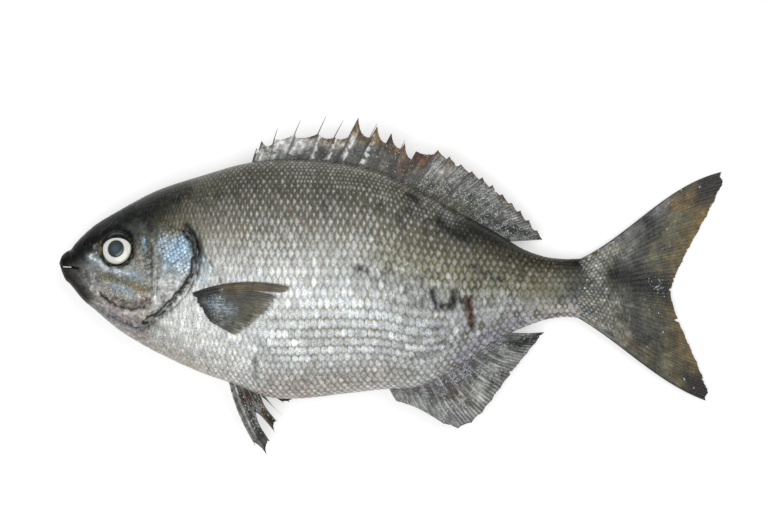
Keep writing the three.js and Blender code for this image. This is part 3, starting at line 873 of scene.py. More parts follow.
# How the flank's scales lie and shine. Turns are degrees up from the flank's middle.
flankScales = {
    "loose": (0.05, 0.03),  # how far they stray along a row, in pitches, and how unevenly they tilt
    "fullPitch": 3.4,  # scales that are closer together than this are thinner, and others thicker
    "thickest": (0.55, 1.15),
    "sunk": 0.06,
    "highest": -0.02,  # no edge stands out of the solid model's outline
    "slitDip": (1.3, 0.9),  # half width and depth of their dip into the gill slit
    "grit": 0.24,
    "leaf": 1.25,
    "scatter": (0.1, 0.26),  # how unevenly wide the bright patches are, most of all high up and tailwards
    "scatterTurn": (8, 35),
    "scatterBack": (210, 250),
    "joined": 0.6,  # how far the patches join along a row, low on the middle of the flank
    "joinedTurn": ((-52, -36), (-24, -12)),
    "joinedBack": ((110, 140), (215, 245)),
    "contrast": (0.4, 1),  # behind the head and on the trunk
    "contrastBack": (72, 118),
}


def makeScales(side, word):
    spots = scaleSpots()
    x0, row0, pitch = spots.T
    count = len(spots)
    stray, tilt = flankScales["loose"]
    x0 = x0 + dice.normal(0, stray, count) * pitch
    tiltAlong, tiltAcross = dice.normal(0, tilt, (2, count, 1))
    size = np.clip(pitch / flankScales["fullPitch"], *flankScales["thickest"])[:, None]
    x = np.clip(x0[:, None] + plateAlong * pitch[:, None], 1, fishShape["length"] - 0.5)
    angle = rowAngle(x, row0[:, None] + plateAcross)
    lift = plateHeight * size - flankScales["sunk"] + tiltAlong * fromHeart + tiltAcross * plateAcross
    lift = np.minimum(lift, flankScales["highest"])
    _, level, _ = onSkin(x, angle)
    width, depth = flankScales["slitDip"]
    lift = lift - depth * bell(nearLine(x, level, headMarks["slit"][0]), width)
    x, y, z = onSkin(x, angle if side > 0 else math.pi - angle, lift)
    ground = paintFlank(x.ravel(), y.ravel(), np.full(x.size, side > 0))
    around = angle * (backAt(x) - bellyAt(x)) / 2
    ground = gritty(ground, x.ravel(), around.ravel(), flankScales["grit"]).reshape(count, -1, 3)
    turn = np.degrees(rowAngle(x0, row0))
    uneven = np.maximum(ease(turn, *flankScales["scatterTurn"]), ease(x0, *flankScales["scatterBack"]))
    scatter = mix(*flankScales["scatter"], uneven)
    leaf = flankScales["leaf"] * leafAt(turn) * (1 + scatter * dice.normal(0, 1, count))
    joinedUp = between(turn, *flankScales["joinedTurn"]) * between(x0, *flankScales["joinedBack"])
    joinedUp = flankScales["joined"] * joinedUp
    contrast = mix(*flankScales["contrast"], ease(x0, *flankScales["contrastBack"])).reshape(-1, 1, 1)
    layPlates(f"scales{word}", intoFrame(x, y, z), ground, leaf, "scaled_skin", contrast, joinedUp)


def silverScale():
    # A wet fish scale: clear bone over a silvery layer, so it mirrors the light softly and glints.
    material, tree = startMaterial("silverFishScale")
    place = addNode(tree, "TexCoord").outputs["Object"]
    shine = addNode(tree, "Attribute", {"attribute_name": "shine"}).outputs["Color"]
    shade = addNode(tree, "Attribute", {"attribute_name": "shade"}).outputs["Color"]
    leaf = addNode(tree, "Attribute", {"attribute_name": "leaf"}).outputs["Fac"]
    plateMap = addNode(tree, "UVMap", {"uv_map": "plate"}).outputs["UV"]
    settings = {"Scale": 1500, "Detail": 3, "Roughness": 0.7}
    grain = addNode(tree, "TexNoise", settings, {"Vector": place}).outputs["Fac"]
    placed = addNode(tree, "SeparateXYZ", {}, {0: plateMap})
    bent = addNode(tree, "Math", {"operation": "MULTIPLY"}, {0: placed.outputs[1], 1: placed.outputs[1]})
    # the bright patch, a painted highlight, is a crescent that follows the scale's round rear edge
    sources = {0: bent.outputs[0], 2: placed.outputs[0]}
    rearward = addNode(tree, "Math", {"operation": "MULTIPLY_ADD", 1: 0.7}, sources)
    crescent = addNode(tree, "CombineXYZ", {}, {0: rearward.outputs[0], 1: placed.outputs[1]})
    folded = addNode(tree, "VectorMath", {"operation": "ABSOLUTE"}, {0: crescent.outputs[0]})
    away = addNode(tree, "VectorMath", {"operation": "DOT_PRODUCT", 1: (1, 0.6, 0)}, {0: folded.outputs[0]})
    reach = addNode(tree, "Math", {"operation": "DIVIDE"}, {0: away.outputs["Value"], 1: leaf})
    ragged = addNode(tree, "Math", {"operation": "MULTIPLY_ADD", 1: 2.2}, {0: grain, 2: reach.outputs[0]})
    patch = addNode(tree, "MapRange", {1: 2.6, 2: 1.5, 3: 0, 4: 1}, {0: ragged.outputs[0]})
    # the rim's pigment and painted shade, mixed with the patch's painted highlight
    blend = addNode(tree, "Mix", {"data_type": "RGBA"}, {"Factor": patch.outputs[0], "A": shade, "B": shine})
    colour = mottled(tree, blend.outputs[2], grain, 0.26, 1.78)
    bump = addNode(tree, "Bump", {"Strength": 0.4, "Distance": 0.0002}, {"Height": grain})
    gloss = addNode(tree, "MapRange", {1: 0.35, 2: 0.65, 3: 0.26, 4: 0.46}, {0: grain})
    shader = addNode(
        tree,
        "BsdfPrincipled",
        {
            "Metallic": 0.2, "IOR": 1.5, "Specular IOR Level": 0.34,
            "Coat Weight": 0.2, "Coat Roughness": 0.12, "Coat IOR": 1.33,
        },
        {"Base Color": colour, "Roughness": gloss.outputs[0], "Normal": bump.outputs[0]},
    )
    endMaterial(tree, shader)
    return material


scaleMaterial = silverScale()
for side, word in sideWords.items():
    makeScales(side, word)
print("scales: done")

# Gill covers: a bony flap on each side of the head, tucked in at its front and free at its rear edge.
gillShape = {
    "low": -38.4,
    "high": 21.4,
    "tuck": 3.0,
    "frontLift": -1.1,
    "rearLift": 0.7,
    "wall": 0.8,
    "creases": [
        ([(83, 3), (81.6, -7), (74.6, -16.5), (67.4, -24.4), (60, -30.6), (50, -34.4)], 0.7, -0.5),
        ([(66, 19), (74, 18.5), (80, 12)], 0.8, -0.2),
        ([(64.5, -20), (70, -12), (76.5, -7)], 0.9, -0.18),
    ],
}
gillShades = [(0, "steel"), (0.2, "silver"), (0.46, "silver"), (0.6, "mist"), (0.84, "mist"), (1, "olive")]
gillMarks = {
    "front": ([(61.5, 8), (61.5, -12)], 3, "steel", 0.8),
    "frontYellow": ([(62.5, 4), (62.8, -3)], 2, "ochre", 0.4),
    "blue": ([(70, 3), (75, 8), (78, 12)], 4.4, "sky", 0.75),
    "top": ([(66, 19), (74, 20)], 3.4, "olive", 0.9),
    # painted shadow of the gill slit along the cover's top rear edge
    "rear": ([(77, 18), (82.4, 12), (84.2, 3)], 2.1, "ink", 1),
    "corner": ([(50, -37), (56, -35)], 3, "slate", 0.85),
    "margin": ([(81, -11), (71.5, -24.5), (60, -32.5)], 1.7, "pewter", 0.85),
    # painted shade in the cover's inner crease
    "innerLine": (gillShape["creases"][0][0], 0.9, "slate", 1),
    "redLine": ([(66, -23.4), (60.4, -28.6), (55, -31.4)], 1.1, "rust", 0.6),
    "ridgeLight": ([(60.2, -3), (60.3, -13), (60.1, -22)], 0.45, "white", 0.9),
    "ridgeDark": ([(61.4, -4), (61.6, -13), (61.3, -20)], 0.4, "drab", 0.6),
    "edge": (
        [(84, 12), (85, 3), (84.6, -5), (77.8, -14.6), (71, -23), (64.4, -30), (54, -36.4)],
        0.9, "slate", 0.9,
    ),
}


def gillLift(x, y):
    fromFront, toRear = x - gillFrontAt(y), gillRearAt(y) - x
    lift = mix(gillShape["frontLift"], gillShape["rearLift"], ease(fromFront, -gillShape["tuck"], 4))
    lift = lift - 1.5 * (1 - ease(gillHigh - y, 0, 3.5)) - 0.4 * (1 - ease(toRear, 0, 0.8))
    for line, width, height in gillShape["creases"]:
        lift = lift + height * bell(nearLine(x, y, line), width)
    return lift


def paintGill(x, y):
    wobbleX, wobbleY = wander(x, y, 1.6, 5, (31.0, 37.0))
    colour = toned(gillShades, (wobbleY - gillShape["low"]) / (gillShape["high"] - gillShape["low"]))
    patches = patchy(x, y, 2.2, 23.0, 0.25)
    for mark in gillMarks.values():
        colour = stroke(colour, mix(x, wobbleX, 0.4), mix(y, wobbleY, 0.4), mark, patches)
    return colour


def makeGillCover(side, word):
    cover, across, up = newGrid(f"gillCover{word}", 84, 124)
    y = mix(gillShape["low"], gillShape["high"], up)
    share = across if side > 0 else 1 - across
    x = mix(gillFrontAt(y) - gillShape["tuck"], gillRearAt(y), share)
    lift = gillLift(x, y) + 0.08 * roughly(x, y, 2.0, 41.0)
    movePoints(cover, x, y, skinHeight(x, y, side, lift))
    colour = gritty(paintGill(x, y), x, y, 0.5)
    tint(cover, colour, sparseFlecks(colour))
    addWall(cover, gillShape["wall"])
    smooth(cover, 60)
    dress(cover, skinMaterial, "gill_cover_skin", f"gill_cover_{word.lower()}")


# Small plates over the gill covers and the cheeks, within a box of the side view.
fields = {
    "gill": {
        "low": (56, -34), "high": (86, 20), "pitch": 2.5, "spacing": 1.9, "lean": 20,  # in degrees
        "leaf": 0.52, "contrast": 1.35, "slot": "gill_cover_skin",
    },
    "cheek": {
        "low": (24, -28), "high": (60, 14), "pitch": 1.5, "spacing": 1.3, "lean": 8,
        "leaf": 0.5, "contrast": 0.45, "slot": "scaled_skin",
        "top": [(20, -3), (28, -6.5), (37, -10), (46, -12), (60, -15)],
        "bottom": [(24, -15.5), (32, -21.5), (38, -24.8), (45, -26), (60, -20)],
    },
}


def fieldSpots(field, inside):
    # staggered spots over the field's box, in rows that lean over
    low, high, pitch, spacing = (field[key] for key in ("low", "high", "pitch", "spacing"))
    turn = math.radians(field["lean"])
    along = np.array([math.cos(turn), -math.sin(turn)])
    across = np.array([math.sin(turn), math.cos(turn)])
    middle = (np.array(low) + np.array(high)) / 2
    half = int(max(high[0] - low[0], high[1] - low[1]) / min(pitch, spacing)) + 1
    spots = []
    for row in range(-half, half + 1):
        for column in range(-half, half + 1):
            spot = middle + along * pitch * (column + 0.5 * (row % 2)) + across * spacing * row
            spot = spot + dice.normal(0, 0.11, 2) * pitch
            if low[0] < spot[0] < high[0] and low[1] < spot[1] < high[1] and inside(*spot):
                spots.append(spot)
    return np.array(spots), along, across


def layField(name, side, field, placed, liftAt, paint):
    # lays a plate on each spot of a field, following the surface
    spots, alongWay, acrossWay = placed
    tilt = dice.normal(0, 0.07, (len(spots), 1))
    shift = fromHeart[None, :] * field["pitch"]
    sideways = plateAcross[None, :] * field["spacing"]
    x = spots[:, 0:1] + shift * alongWay[0] + sideways * acrossWay[0]
    y = spots[:, 1:2] + shift * alongWay[1] + sideways * acrossWay[1]
    lift = liftAt(x, y) + (plateHeight - scaleShape["base"]) * 0.7 + tilt * fromHeart
    ground = gritty(paint(x.ravel(), y.ravel()), x.ravel(), y.ravel(), 0.4).reshape(*x.shape, 3)
    points = intoFrame(x, y, skinHeight(x, y, side, lift))
    layPlates(name, points, ground, field["leaf"], field["slot"], field["contrast"])


def onGill(x, y):
    level = -33 < y < 19.5 and y > -6 + 0.9 * (76 - x)
    within = gillFrontAt(y) + 2.6 < x < gillRearAt(y) - 1.6
    return level and within and nearLine(x, y, gillShape["creases"][0][0]) > 1.2


def onCheek(x, y):
    ring = math.hypot(x - eyeShape["x"], y - eyeShape["y"])
    below = y < np.interp(x, *zip(*fields["cheek"]["top"])) or x > 48.5
    above = y > np.interp(x, *zip(*fields["cheek"]["bottom"]))
    clear = ring > 12.6 and nearLine(x, y, relief["cheekBone"][0]) > 2.6
    return clear and below and above and 26 < x < gillFrontAt(y) - 3.4


def gillScaleLift(x, y):
    return gillLift(x, y) + 0.02


def cheekScaleLift(x, y):
    return np.full(np.shape(x), -0.02)


def paintCheek(x, y):
    return paintFlank(x, y, True)


gillSpots = fieldSpots(fields["gill"], onGill)
cheekSpots = fieldSpots(fields["cheek"], onCheek)
for side, word in sideWords.items():
    makeGillCover(side, word)
    layField(f"gillScales{word}", side, fields["gill"], gillSpots, gillScaleLift, paintGill)
    layField(f"cheekScales{word}", side, fields["cheek"], cheekSpots, cheekScaleLift, paintCheek)
print("gill covers and cheeks: done")

# Eyes: a clear-coated ball with a pale iris, a domed pupil, and a dark lid over its top.
eyeLook = {
    "pupil": "#2a3b40",
    "pupilMiddle": "#41565c",
    "pupilRim": "#070808",
    "iris": "#e3e4dc",
    "irisShade": "#b9bab0",
    "irisRim": "#8d8058",
    # the eyeball's back half, down in the socket: painted shade
    "back": "#0c0c0c",
    "around": (72, 56),  # points round the eyeball, and its rings
    "pupilAround": (48, 32),
    "lidHeight": 6.6,  # its lower edge passes this far above the eye's centre
    "lidWidth": 9.4,
    "lidOuter": 11.2,
    "lidTurn": (6, 176),  # from the front corner to the rear one, in degrees
    "lidShades": ("#0d0f0e", "#2a2f2c"),
    # the colour of the painted highlight along the lid's ridge
    "lidSheen": "#53706d",
    "lidWall": 0.5,
}


def eyeFrame(side):
    # the eye's centre and its own directions: rearwards, upwards and out of the skin
    x, y = eyeShape["x"], eyeShape["y"]
    step = 2
    riseBack = float(skinHeight(x + step, y, side) - skinHeight(x - step, y, side))
    riseUp = float(skinHeight(x, y + step, side) - skinHeight(x, y - step, side))
    outward = Vector((-riseBack, -riseUp, 2 * step)).normalized() * side
    rearward = (Vector((1, 0, 0)) - outward * outward.x).normalized()
    upward = outward.cross(rearward)
    if side < 0:
        rearward, upward = -rearward, -upward
    centre = np.array([x, y, float(skinHeight(x, y, side))])
    return centre, np.array(rearward), np.array(upward), np.array(outward)


def placeOnEye(piece, side, back, up, out):
    centre, rearward, upward, outward = eyeFrame(side)
    spots = centre + back[:, None] * rearward + up[:, None] * upward + out[:, None] * outward
    movePoints(piece, spots[:, 0], spots[:, 1], spots[:, 2])


def eyeDome(away):
    return eyeShape["bulge"] * np.sqrt(np.clip(1 - (away / eyeShape["radius"]) ** 2, 0, 1))


def makeEyeball(side, word):
    around, rings = eyeLook["around"]
    eyeball, ring, turn = newBall(f"eyeball{word}", around, rings)
    slope = ring / rings * math.pi
    away = np.sin(slope) * eyeShape["radius"]
    deep = np.where(np.cos(slope) > 0, eyeShape["bulge"], eyeShape["depth"])
    out = np.cos(slope) * deep
    placeOnEye(eyeball, side, away * np.cos(turn), away * np.sin(turn), out)
    colour = np.tile(linear(eyeLook["iris"]), (len(away), 1))
    streaks = 0.5 + 0.5 * roughly(np.cos(turn) * 9, np.sin(turn) * 9, 1.0, 51.0)
    colour = mix(colour, linear(eyeLook["irisShade"]), (0.45 * streaks * ease(away, 5, 8.5))[:, None])
    colour = over(colour, eyeLook["irisRim"], ease(away, 8.0, 8.9) * 0.7)
    colour = over(colour, eyeLook["pupilRim"], 1 - ease(away, 5.0, 5.5))
    # the back half sits in the socket and is painted near black as shade
    colour[out <= 0] = linear(eyeLook["back"])
    tint(eyeball, colour)
    smooth(eyeball)
    dress(eyeball, corneaMaterial, "eyeball", f"eye_{word.lower()}")


def makePupil(side, word):
    around, rings = eyeLook["pupilAround"]
    pupil, ring, turn = newBall(f"pupil{word}", around, rings)
    slope = ring / rings * math.pi
    away = np.sin(slope) * eyeShape["pupil"]
    out = eyeDome(away) + np.cos(slope) * np.where(np.cos(slope) > 0, 0.35, 0.8) + 0.02
    placeOnEye(pupil, side, away * np.cos(turn), away * np.sin(turn), out)
    colour = over(linear(eyeLook["pupilMiddle"]), eyeLook["pupil"], ease(away, 0.5, 3.4))
    tint(pupil, over(colour, eyeLook["pupilRim"], ease(away, 3.9, 4.6)))
    smooth(pupil)
    dress(pupil, corneaMaterial, "eyeball")


def makeEyelid(side, word):
    lid, across, outwards = newGrid(f"eyelid{word}", 60, 16)
    turn = np.radians(mix(*eyeLook["lidTurn"], across if side < 0 else 1 - across))
    inner = 1 / np.hypot(np.cos(turn) / eyeLook["lidWidth"], np.sin(turn) / eyeLook["lidHeight"])
    away = mix(inner, eyeLook["lidOuter"], outwards)
    dome = np.where(away < eyeShape["radius"], eyeDome(away), 0)
    out = dome + mix(0.28, 0.12, outwards) + 0.35 * np.sin(math.pi * outwards)
    edge = np.minimum(np.minimum(across, 1 - across) * 12, 1)
    out = out * edge - 0.5 * (1 - edge) - 0.5 * ease(outwards, 0.85, 1)
    placeOnEye(lid, side, away * np.cos(turn), away * np.sin(turn), out)
    grain = roughly(away * np.cos(turn), away * np.sin(turn), 2, 55.0)
    dark, pale = eyeLook["lidShades"]
    shade = over(linear(dark), pale, ease(grain, 0, 0.5))
    # a painted highlight: a thin pale arc along the lid's rounded ridge
    lidGlossArc = bell(away - 9.6, 0.35) * ease(np.sin(turn), 0.75, 1)
    tint(lid, over(shade, eyeLook["lidSheen"], 0.8 * lidGlossArc))
    addWall(lid, eyeLook["lidWall"])
    recalculate(lid)
    smooth(lid, 70)
    dress(lid, skinMaterial, "scaled_skin")


def wetEye():
    # A fish eye under its clear wet cornea: hard and very glossy, the iris faintly streaked.
    material, tree = startMaterial("wetCornea")
    place = addNode(tree, "TexCoord").outputs["Object"]
    own = addNode(tree, "Attribute", {"attribute_name": "tint"}).outputs["Color"]
    streak = addNode(tree, "TexNoise", {"Scale": 1300, "Detail": 3}, {"Vector": place})
    shader = addNode(
        tree,
        "BsdfPrincipled",
        {"Roughness": 0.22, "IOR": 1.38, "Coat Weight": 1.0, "Coat Roughness": 0.03, "Coat IOR": 1.38},
        {"Base Color": mottled(tree, own, streak.outputs["Fac"], 0.9, 1.06)},
    )
    endMaterial(tree, shader)
    return material


corneaMaterial = wetEye()
for side, word in sideWords.items():
    makeEyeball(side, word)
    makePupil(side, word)
    makeEyelid(side, word)
print("eyes: done")

# Teeth: a row of small flat cutting teeth along the upper jaw.
toothShape = {
    "count": 10, "first": 2.6, "last": 7.5, "level": -2.4,
    "drop": 0.04,  # the row sinks by this share of its run
    "wide": 0.5, "tall": 0.58, "thick": 0.4, "spread": 0.18, "wear": 0.22, "colour": "#efeee4",
}


def makeTeeth():
    bpy.ops.object.select_all(action="DESELECT")
    bpy.ops.mesh.primitive_cube_add(size=1)
    pattern = bpy.context.object
    bevel = pattern.modifiers.new("worn", "BEVEL")
    bevel.width = toothShape["wear"]
    bevel.segments = 2
    applyModifiers(pattern)
    points, faces = takePattern(pattern)
    points[:, 0] *= 1 + toothShape["spread"] * (points[:, 1] < 0)  # a tooth widens to its cutting edge
    copies = []
    for side in sideWords:
        for place in np.linspace(toothShape["first"], toothShape["last"], toothShape["count"]):
            level = toothShape["level"] - toothShape["drop"] * place
            ahead = float(skinHeight(place + 0.3, level, side) - skinHeight(place - 0.3, level, side))
            along = np.array([0.6, 0, ahead]) / math.hypot(0.6, ahead)
            out = np.array([-along[2], 0, along[0]]) * side
            centre = np.array([place, level, float(skinHeight(place, level, side))]) - out * 0.5
            size = random.uniform(0.9, 1.08)
            copies.append(
                centre
                + points[:, 0:1] * along * toothShape["wide"] * size * side
                + points[:, 1:2] * np.array([0, 1, 0]) * toothShape["tall"] * size
                + points[:, 2:3] * out * toothShape["thick"]
            )
    teeth = joinCopies("teeth", intoFrame(*np.moveaxis(np.array(copies), -1, 0)), faces)
    smooth(teeth, 60)
    tint(teeth, np.tile(linear(toothShape["colour"]), (len(teeth.data.vertices), 1)))
    dress(teeth, corneaMaterial, "eyeball")


makeTeeth()
print("teeth: done")

# Fins: stiff rays with a thin web between them, frayed along the free edge.
# Each fin's "mesh" is the points from ray to ray, the rows from root to edge, and a ray's thickness.
finShape = {
    "webThickness": 0.22,
    "thinning": 0.4,  # the share of the thickness that is left at the edge
    "firstFork": (0.3, 0.5),  # where rays fork, in shares of the way out
    "secondFork": (0.62, 0.8),
}


def stretchMap(piece, wide, long):
    # the piece's own map in tenths of a metre, so that a pattern on it keeps its real size
    layer = piece.data.uv_layers[0].data
    places = np.empty(len(layer) * 2)
    layer.foreach_get("uv", places)
    layer.foreach_set("uv", (places.reshape(-1, 2) * (wide / 100, long / 100)).ravel())


def finSheet(name, mesh, rays, reachAt, heightAt, bowAt, colourAt, forks=True):
    # a web over rays, each (rootX, rootY, tipX, tipY). Rays stand out as ridges that fork towards the edge
    perGap, rows, rayThickness = mesh
    gaps = len(rays) - 1
    sheet, t, outwards = newGrid(name, gaps * perGap, rows)
    place = t * gaps
    gap = np.minimum(place.astype(int), gaps - 1)
    share = place - gap
    ends = np.array(rays, float)
    rootX, rootY, tipX, tipY = mix(ends[gap], ends[gap + 1], share[:, None]).T
    run = outwards * reachAt(gap, share, t)
    sideways = bowAt(t, run) * run * (1 - run)
    x = mix(rootX, tipX, run) - sideways * (tipY - rootY)
    y = mix(rootY, tipY, run) + sideways * (tipX - rootX)
    ridge = np.cos(math.pi * place) ** 12
    if forks:
        forked = np.cos(2 * math.pi * (place + 0.12)) ** 10
        fine = np.cos(4 * math.pi * (place + 0.06)) ** 6
        ridge = mix(ridge, forked, ease(run, *finShape["firstFork"]))
        ridge = mix(ridge, fine, ease(run, *finShape["secondFork"]))
    movePoints(sheet, x, y, heightAt(x, y, run))
    tint(sheet, *colourAt(x, y, run, place, ridge))
    middleRay = ends[gaps // 2]
    wide = math.dist(ends[0][:2], ends[-1][:2]) + math.dist(ends[0][2:], ends[-1][2:])
    stretchMap(sheet, wide / 2, math.dist(middleRay[:2], middleRay[2:]))
    thick = mix(finShape["webThickness"], rayThickness, ridge) * mix(1, finShape["thinning"], run)
    group = sheet.vertex_groups.new(name="rays")
    for index, weight in enumerate(thick / thick.max()):
        group.add([index], float(weight), "REPLACE")
    wall = sheet.modifiers.new("wall", "SOLIDIFY")
    wall.thickness = float(thick.max()) / 1000
    wall.offset = 0
    wall.vertex_group = "rays"
    wall.thickness_vertex_group = 0.02
    applyModifiers(sheet)
    recalculate(sheet)
    smooth(sheet, 70)
    return sheet


def heightOverMiddle(drop):
    # a fin that leaves the body in its middle plane and sinks by so much towards its edge
    def heightAt(x, y, run):
        return middleAt(x) - drop * run * run

    return heightAt


def steadyBow(front, rear):
    # how far rays bend sideways, from the first to the last
    def bowAt(t, run):
        return mix(front, rear, t)

    return bowAt


def makeSpines(name, rays, drop, thickRoot, thickTip, bend, colourAt):
    # tapering spines along the rays, each a ball that is drawn out and bent sideways
    around, rings = 10, 18
    pattern, ring, turn = newBall("spinePattern", around, rings)
    share = ring / rings
    _, faces = takePattern(pattern)
    copies = []
    for rootX, rootY, tipX, tipY in rays:
        root = np.array([rootX, rootY, float(middleAt(rootX))])
        tip = np.array([tipX, tipY, float(middleAt(tipX)) - drop])
        way = (tip - root) / np.linalg.norm(tip - root)
        flat = np.array([-way[1], way[0], 0]) / math.hypot(way[0], way[1])
        up = np.cross(way, flat)
        centre = root + share[:, None] * (tip - root) + (4 * bend * share * (1 - share))[:, None] * flat
        ends = np.sqrt(np.clip(1 - np.abs(2 * share - 1) ** 14, 0, 1))  # rounds them off
        radius = mix(thickRoot, thickTip, share**0.8) / 2 * ends
        spots = centre + radius[:, None] * (np.cos(turn)[:, None] * flat + np.sin(turn)[:, None] * up)
        copies.append(intoFrame(*spots.T))
    spines = joinCopies(name, np.array(copies), faces)
    recalculate(spines)
    smooth(spines)
    tint(spines, np.tile(colourAt(share, turn), (len(copies), 1)))
    dress(spines, finMaterial, "fin_web")


def frayed(t, depth, grain, seed):
    # how far a fin's edge falls short, ragged and with a few deeper nicks
    rough = np.array([noise.noise((place * grain, seed, 0.0)) for place in t])
    nicks = np.array([noise.noise((place * grain * 0.35, seed + 9.0, 0.0)) for place in t])
    return depth * (0.5 + 0.5 * rough) + depth * 2.2 * ease(nicks, 0.3, 0.55)


finMarks = (2, 6, (71.0, 77.0))  # how far marks wander and how coarsely, in millimetres, and the seeds


def paintFin(look, x, y, run, place, ridge):
    # the fin's tones from root to edge and its marks, with lighter rays and long fine streaks
    unsure = 0.12 * roughly(x, y, 7, 73.0)
    colour = toned(look["shades"], np.clip(run + unsure, 0, 1))
    nearX, nearY = wander(x, y, *finMarks)
    patches = patchy(x, y, 3, 79.0, 0.2)
    for mark in look["marks"]:
        colour = stroke(colour, nearX, nearY, mark, patches)
    blotches = roughly(x, y, 6, 83.0, 4) + 0.6 * roughly(x, y, 1.6, 85.0)
    colour = colour * np.exp(look["blotches"] * blotches)[:, None]
    streak = np.array([noise.noise((a * look["streakGrain"], b * 3, 5.0)) for a, b in zip(place, run)])
    shade = mix(look["between"], look["onRay"], ridge) * (1 + look["streaks"] * streak)
    tone, width, strength = look["edge"]
    return over(colour * shade[:, None], tone, strength * bell(1 - run, width))


def finWeb():
    # Fin web: thin wet skin between horny rays, streaked along them and flecked with small silver scales, the
    # flecks partly painted glints.
    material, tree = startMaterial("wetFinWeb")
    own = addNode(tree, "Attribute", {"attribute_name": "tint"}).outputs["Color"]
    sheetMap = addNode(tree, "UVMap", {"uv_map": "UVMap"}).outputs["UV"]
    stretched = addNode(tree, "Mapping", {"Scale": (110, 9, 1)}, {"Vector": sheetMap})
    streak = addNode(tree, "TexNoise", {"Scale": 1, "Detail": 4}, {"Vector": stretched.outputs[0]})
    colour = mottled(tree, own, streak.outputs["Fac"], 0.62, 1.4)
    colour = addFlecks(tree, colour, sheetMap, (150, 180, 1))
    joints = addNode(tree, "TexVoronoi", {"Scale": 110}, {"Vector": sheetMap})
    sources = {0: streak.outputs["Fac"], 1: joints.outputs["Distance"]}
    height = addNode(tree, "Math", {"operation": "ADD"}, sources)
    bump = addNode(tree, "Bump", {"Strength": 0.6, "Distance": 0.0003}, {"Height": height.outputs[0]})
    gloss = addNode(tree, "MapRange", {1: 0.3, 2: 0.7, 3: 0.24, 4: 0.5}, {0: streak.outputs["Fac"]})
    shader = addNode(
        tree,
        "BsdfPrincipled",
        {"IOR": 1.4, "Coat Weight": 0.2, "Coat Roughness": 0.15, "Coat IOR": 1.33},
        {"Base Color": colour, "Roughness": gloss.outputs[0], "Normal": bump.outputs[0]},
    )
    endMaterial(tree, shader)
    return material


finMaterial = finWeb()

# Tail fin: seventeen rays that fan out of the flesh's rounded end to two pointed lobes.
tailShape = {
    "mesh": (14, 110, 0.8),
    "rays": 17,
    "fork": (373.3, -18.6),
    "upperTip": (404.8, 56),
    "lowerTip": (395, -85.3),
    "rounding": 0.003,
    "middleRoot": (321, -15.5),
    "upperRoot": (309, -0.8),
    "lowerRoot": (309, -30.6),
    "bow": (0.5, 0.38, -0.32, 0.3),  # how far and from where the upper and the lower rays bend
}
tailLook = {
    "shades": [(0, "pewter"), (0.36, "pewter"), (0.55, "drab"), (0.8, "olive"), (1, "ochre")],
    "marks": [
        ([(314, -36), (326, -39)], 3, "pearl", 0.7),
        ([(334, 18), (352, 30), (372, 38)], 6, "lilac", 0.8),
        ([(346, -32), (366, -40)], 7, "drab", 0.9),
        ([(346, -48), (358, -56)], 5, "ochre", 0.7),
        ([(340, -8), (354, -12), (373, -18)], 10, "ink", 1),
        ([(356, 30), (364, 18)], 5, "slate", 0.95),
        ([(356, -46), (370, -52)], 5, "slate", 0.8),
        ([(376, 36), (392, 44)], 5, "gold", 0.8),
        ([(393, 30), (387, 8)], 5, "gold", 0.85),
        ([(376, -46), (388, -64)], 6, "ochre", 0.8),
        ([(398, 50), (408, 60)], 7, "slate", 1),
        ([(394, -78), (398, -90)], 6, "slate", 1),
    ],
    "blotches": 0.7,
    "streakGrain": 5,
    "between": 0.86,
    "onRay": 1.1,
    "streaks": 0.25,
    "edge": ("ochre", 0.04, 0.5),
    "outerEdge": 0.035,  # the width of its dark line, as a share of a lobe
    "glints": (366, -15, 4),  # where silver flecks and painted glints gather, and how widely
}


def makeTail():
    rounding = math.sqrt(tailShape["rounding"])
    (middleX, middleY), (forkX, forkY) = tailShape["middleRoot"], tailShape["fork"]
    rays = []
    for t in np.linspace(0, 1, tailShape["rays"]):
        out = abs(1 - 2 * t)
        spread = (math.sqrt(out**2 + rounding**2) - rounding) / (1 - rounding)
        half = "upper" if t < 0.5 else "lower"
        (rootX, rootY), (tipX, tipY) = tailShape[half + "Root"], tailShape[half + "Tip"]
        rays.append((
            mix(middleX, rootX, out), mix(middleY, rootY, out),
            mix(forkX, tipX, min(1, spread)), mix(forkY, tipY, out),
        ))

    def reachAt(gap, share, t):
        out = np.abs(1 - 2 * t)
        lobe = 0.048 * ease(out, 0.1, 0.75) - 0.05 * ease(out, 0.9, 1)
        return 1 + lobe - 0.008 * np.sin(math.pi * share) - frayed(t, 0.02, 120, 1.0) * ease(-out, -1, -0.94)

    def bowAt(t, run):
        upper, upperFrom, lower, lowerFrom = tailShape["bow"]
        return mix(upper * (run - upperFrom), lower * (run - lowerFrom), t)

    def colourAt(x, y, run, place, ridge):
        colour = paintFin(tailLook, x, y, run, place, ridge)
        side = 1 - np.abs(2 * place / (tailShape["rays"] - 1) - 1)
        colour = over(colour, "slate", 0.75 * bell(side, tailLook["outerEdge"]))
        colour = over(colour, "ink", 0.9 * ease(run, 0.8, 0.92) * ease(-side, -0.4, -0.15))
        glintX, glintY, width = tailLook["glints"]
        return colour, 0.004 + 0.13 * bell(x - glintX, width) * bell(y - glintY, width)

    tailFin = finSheet("tailFin", tailShape["mesh"], rays, reachAt, heightOverMiddle(0), bowAt, colourAt)
    dress(tailFin, finMaterial, "fin_web", "tail_fin")


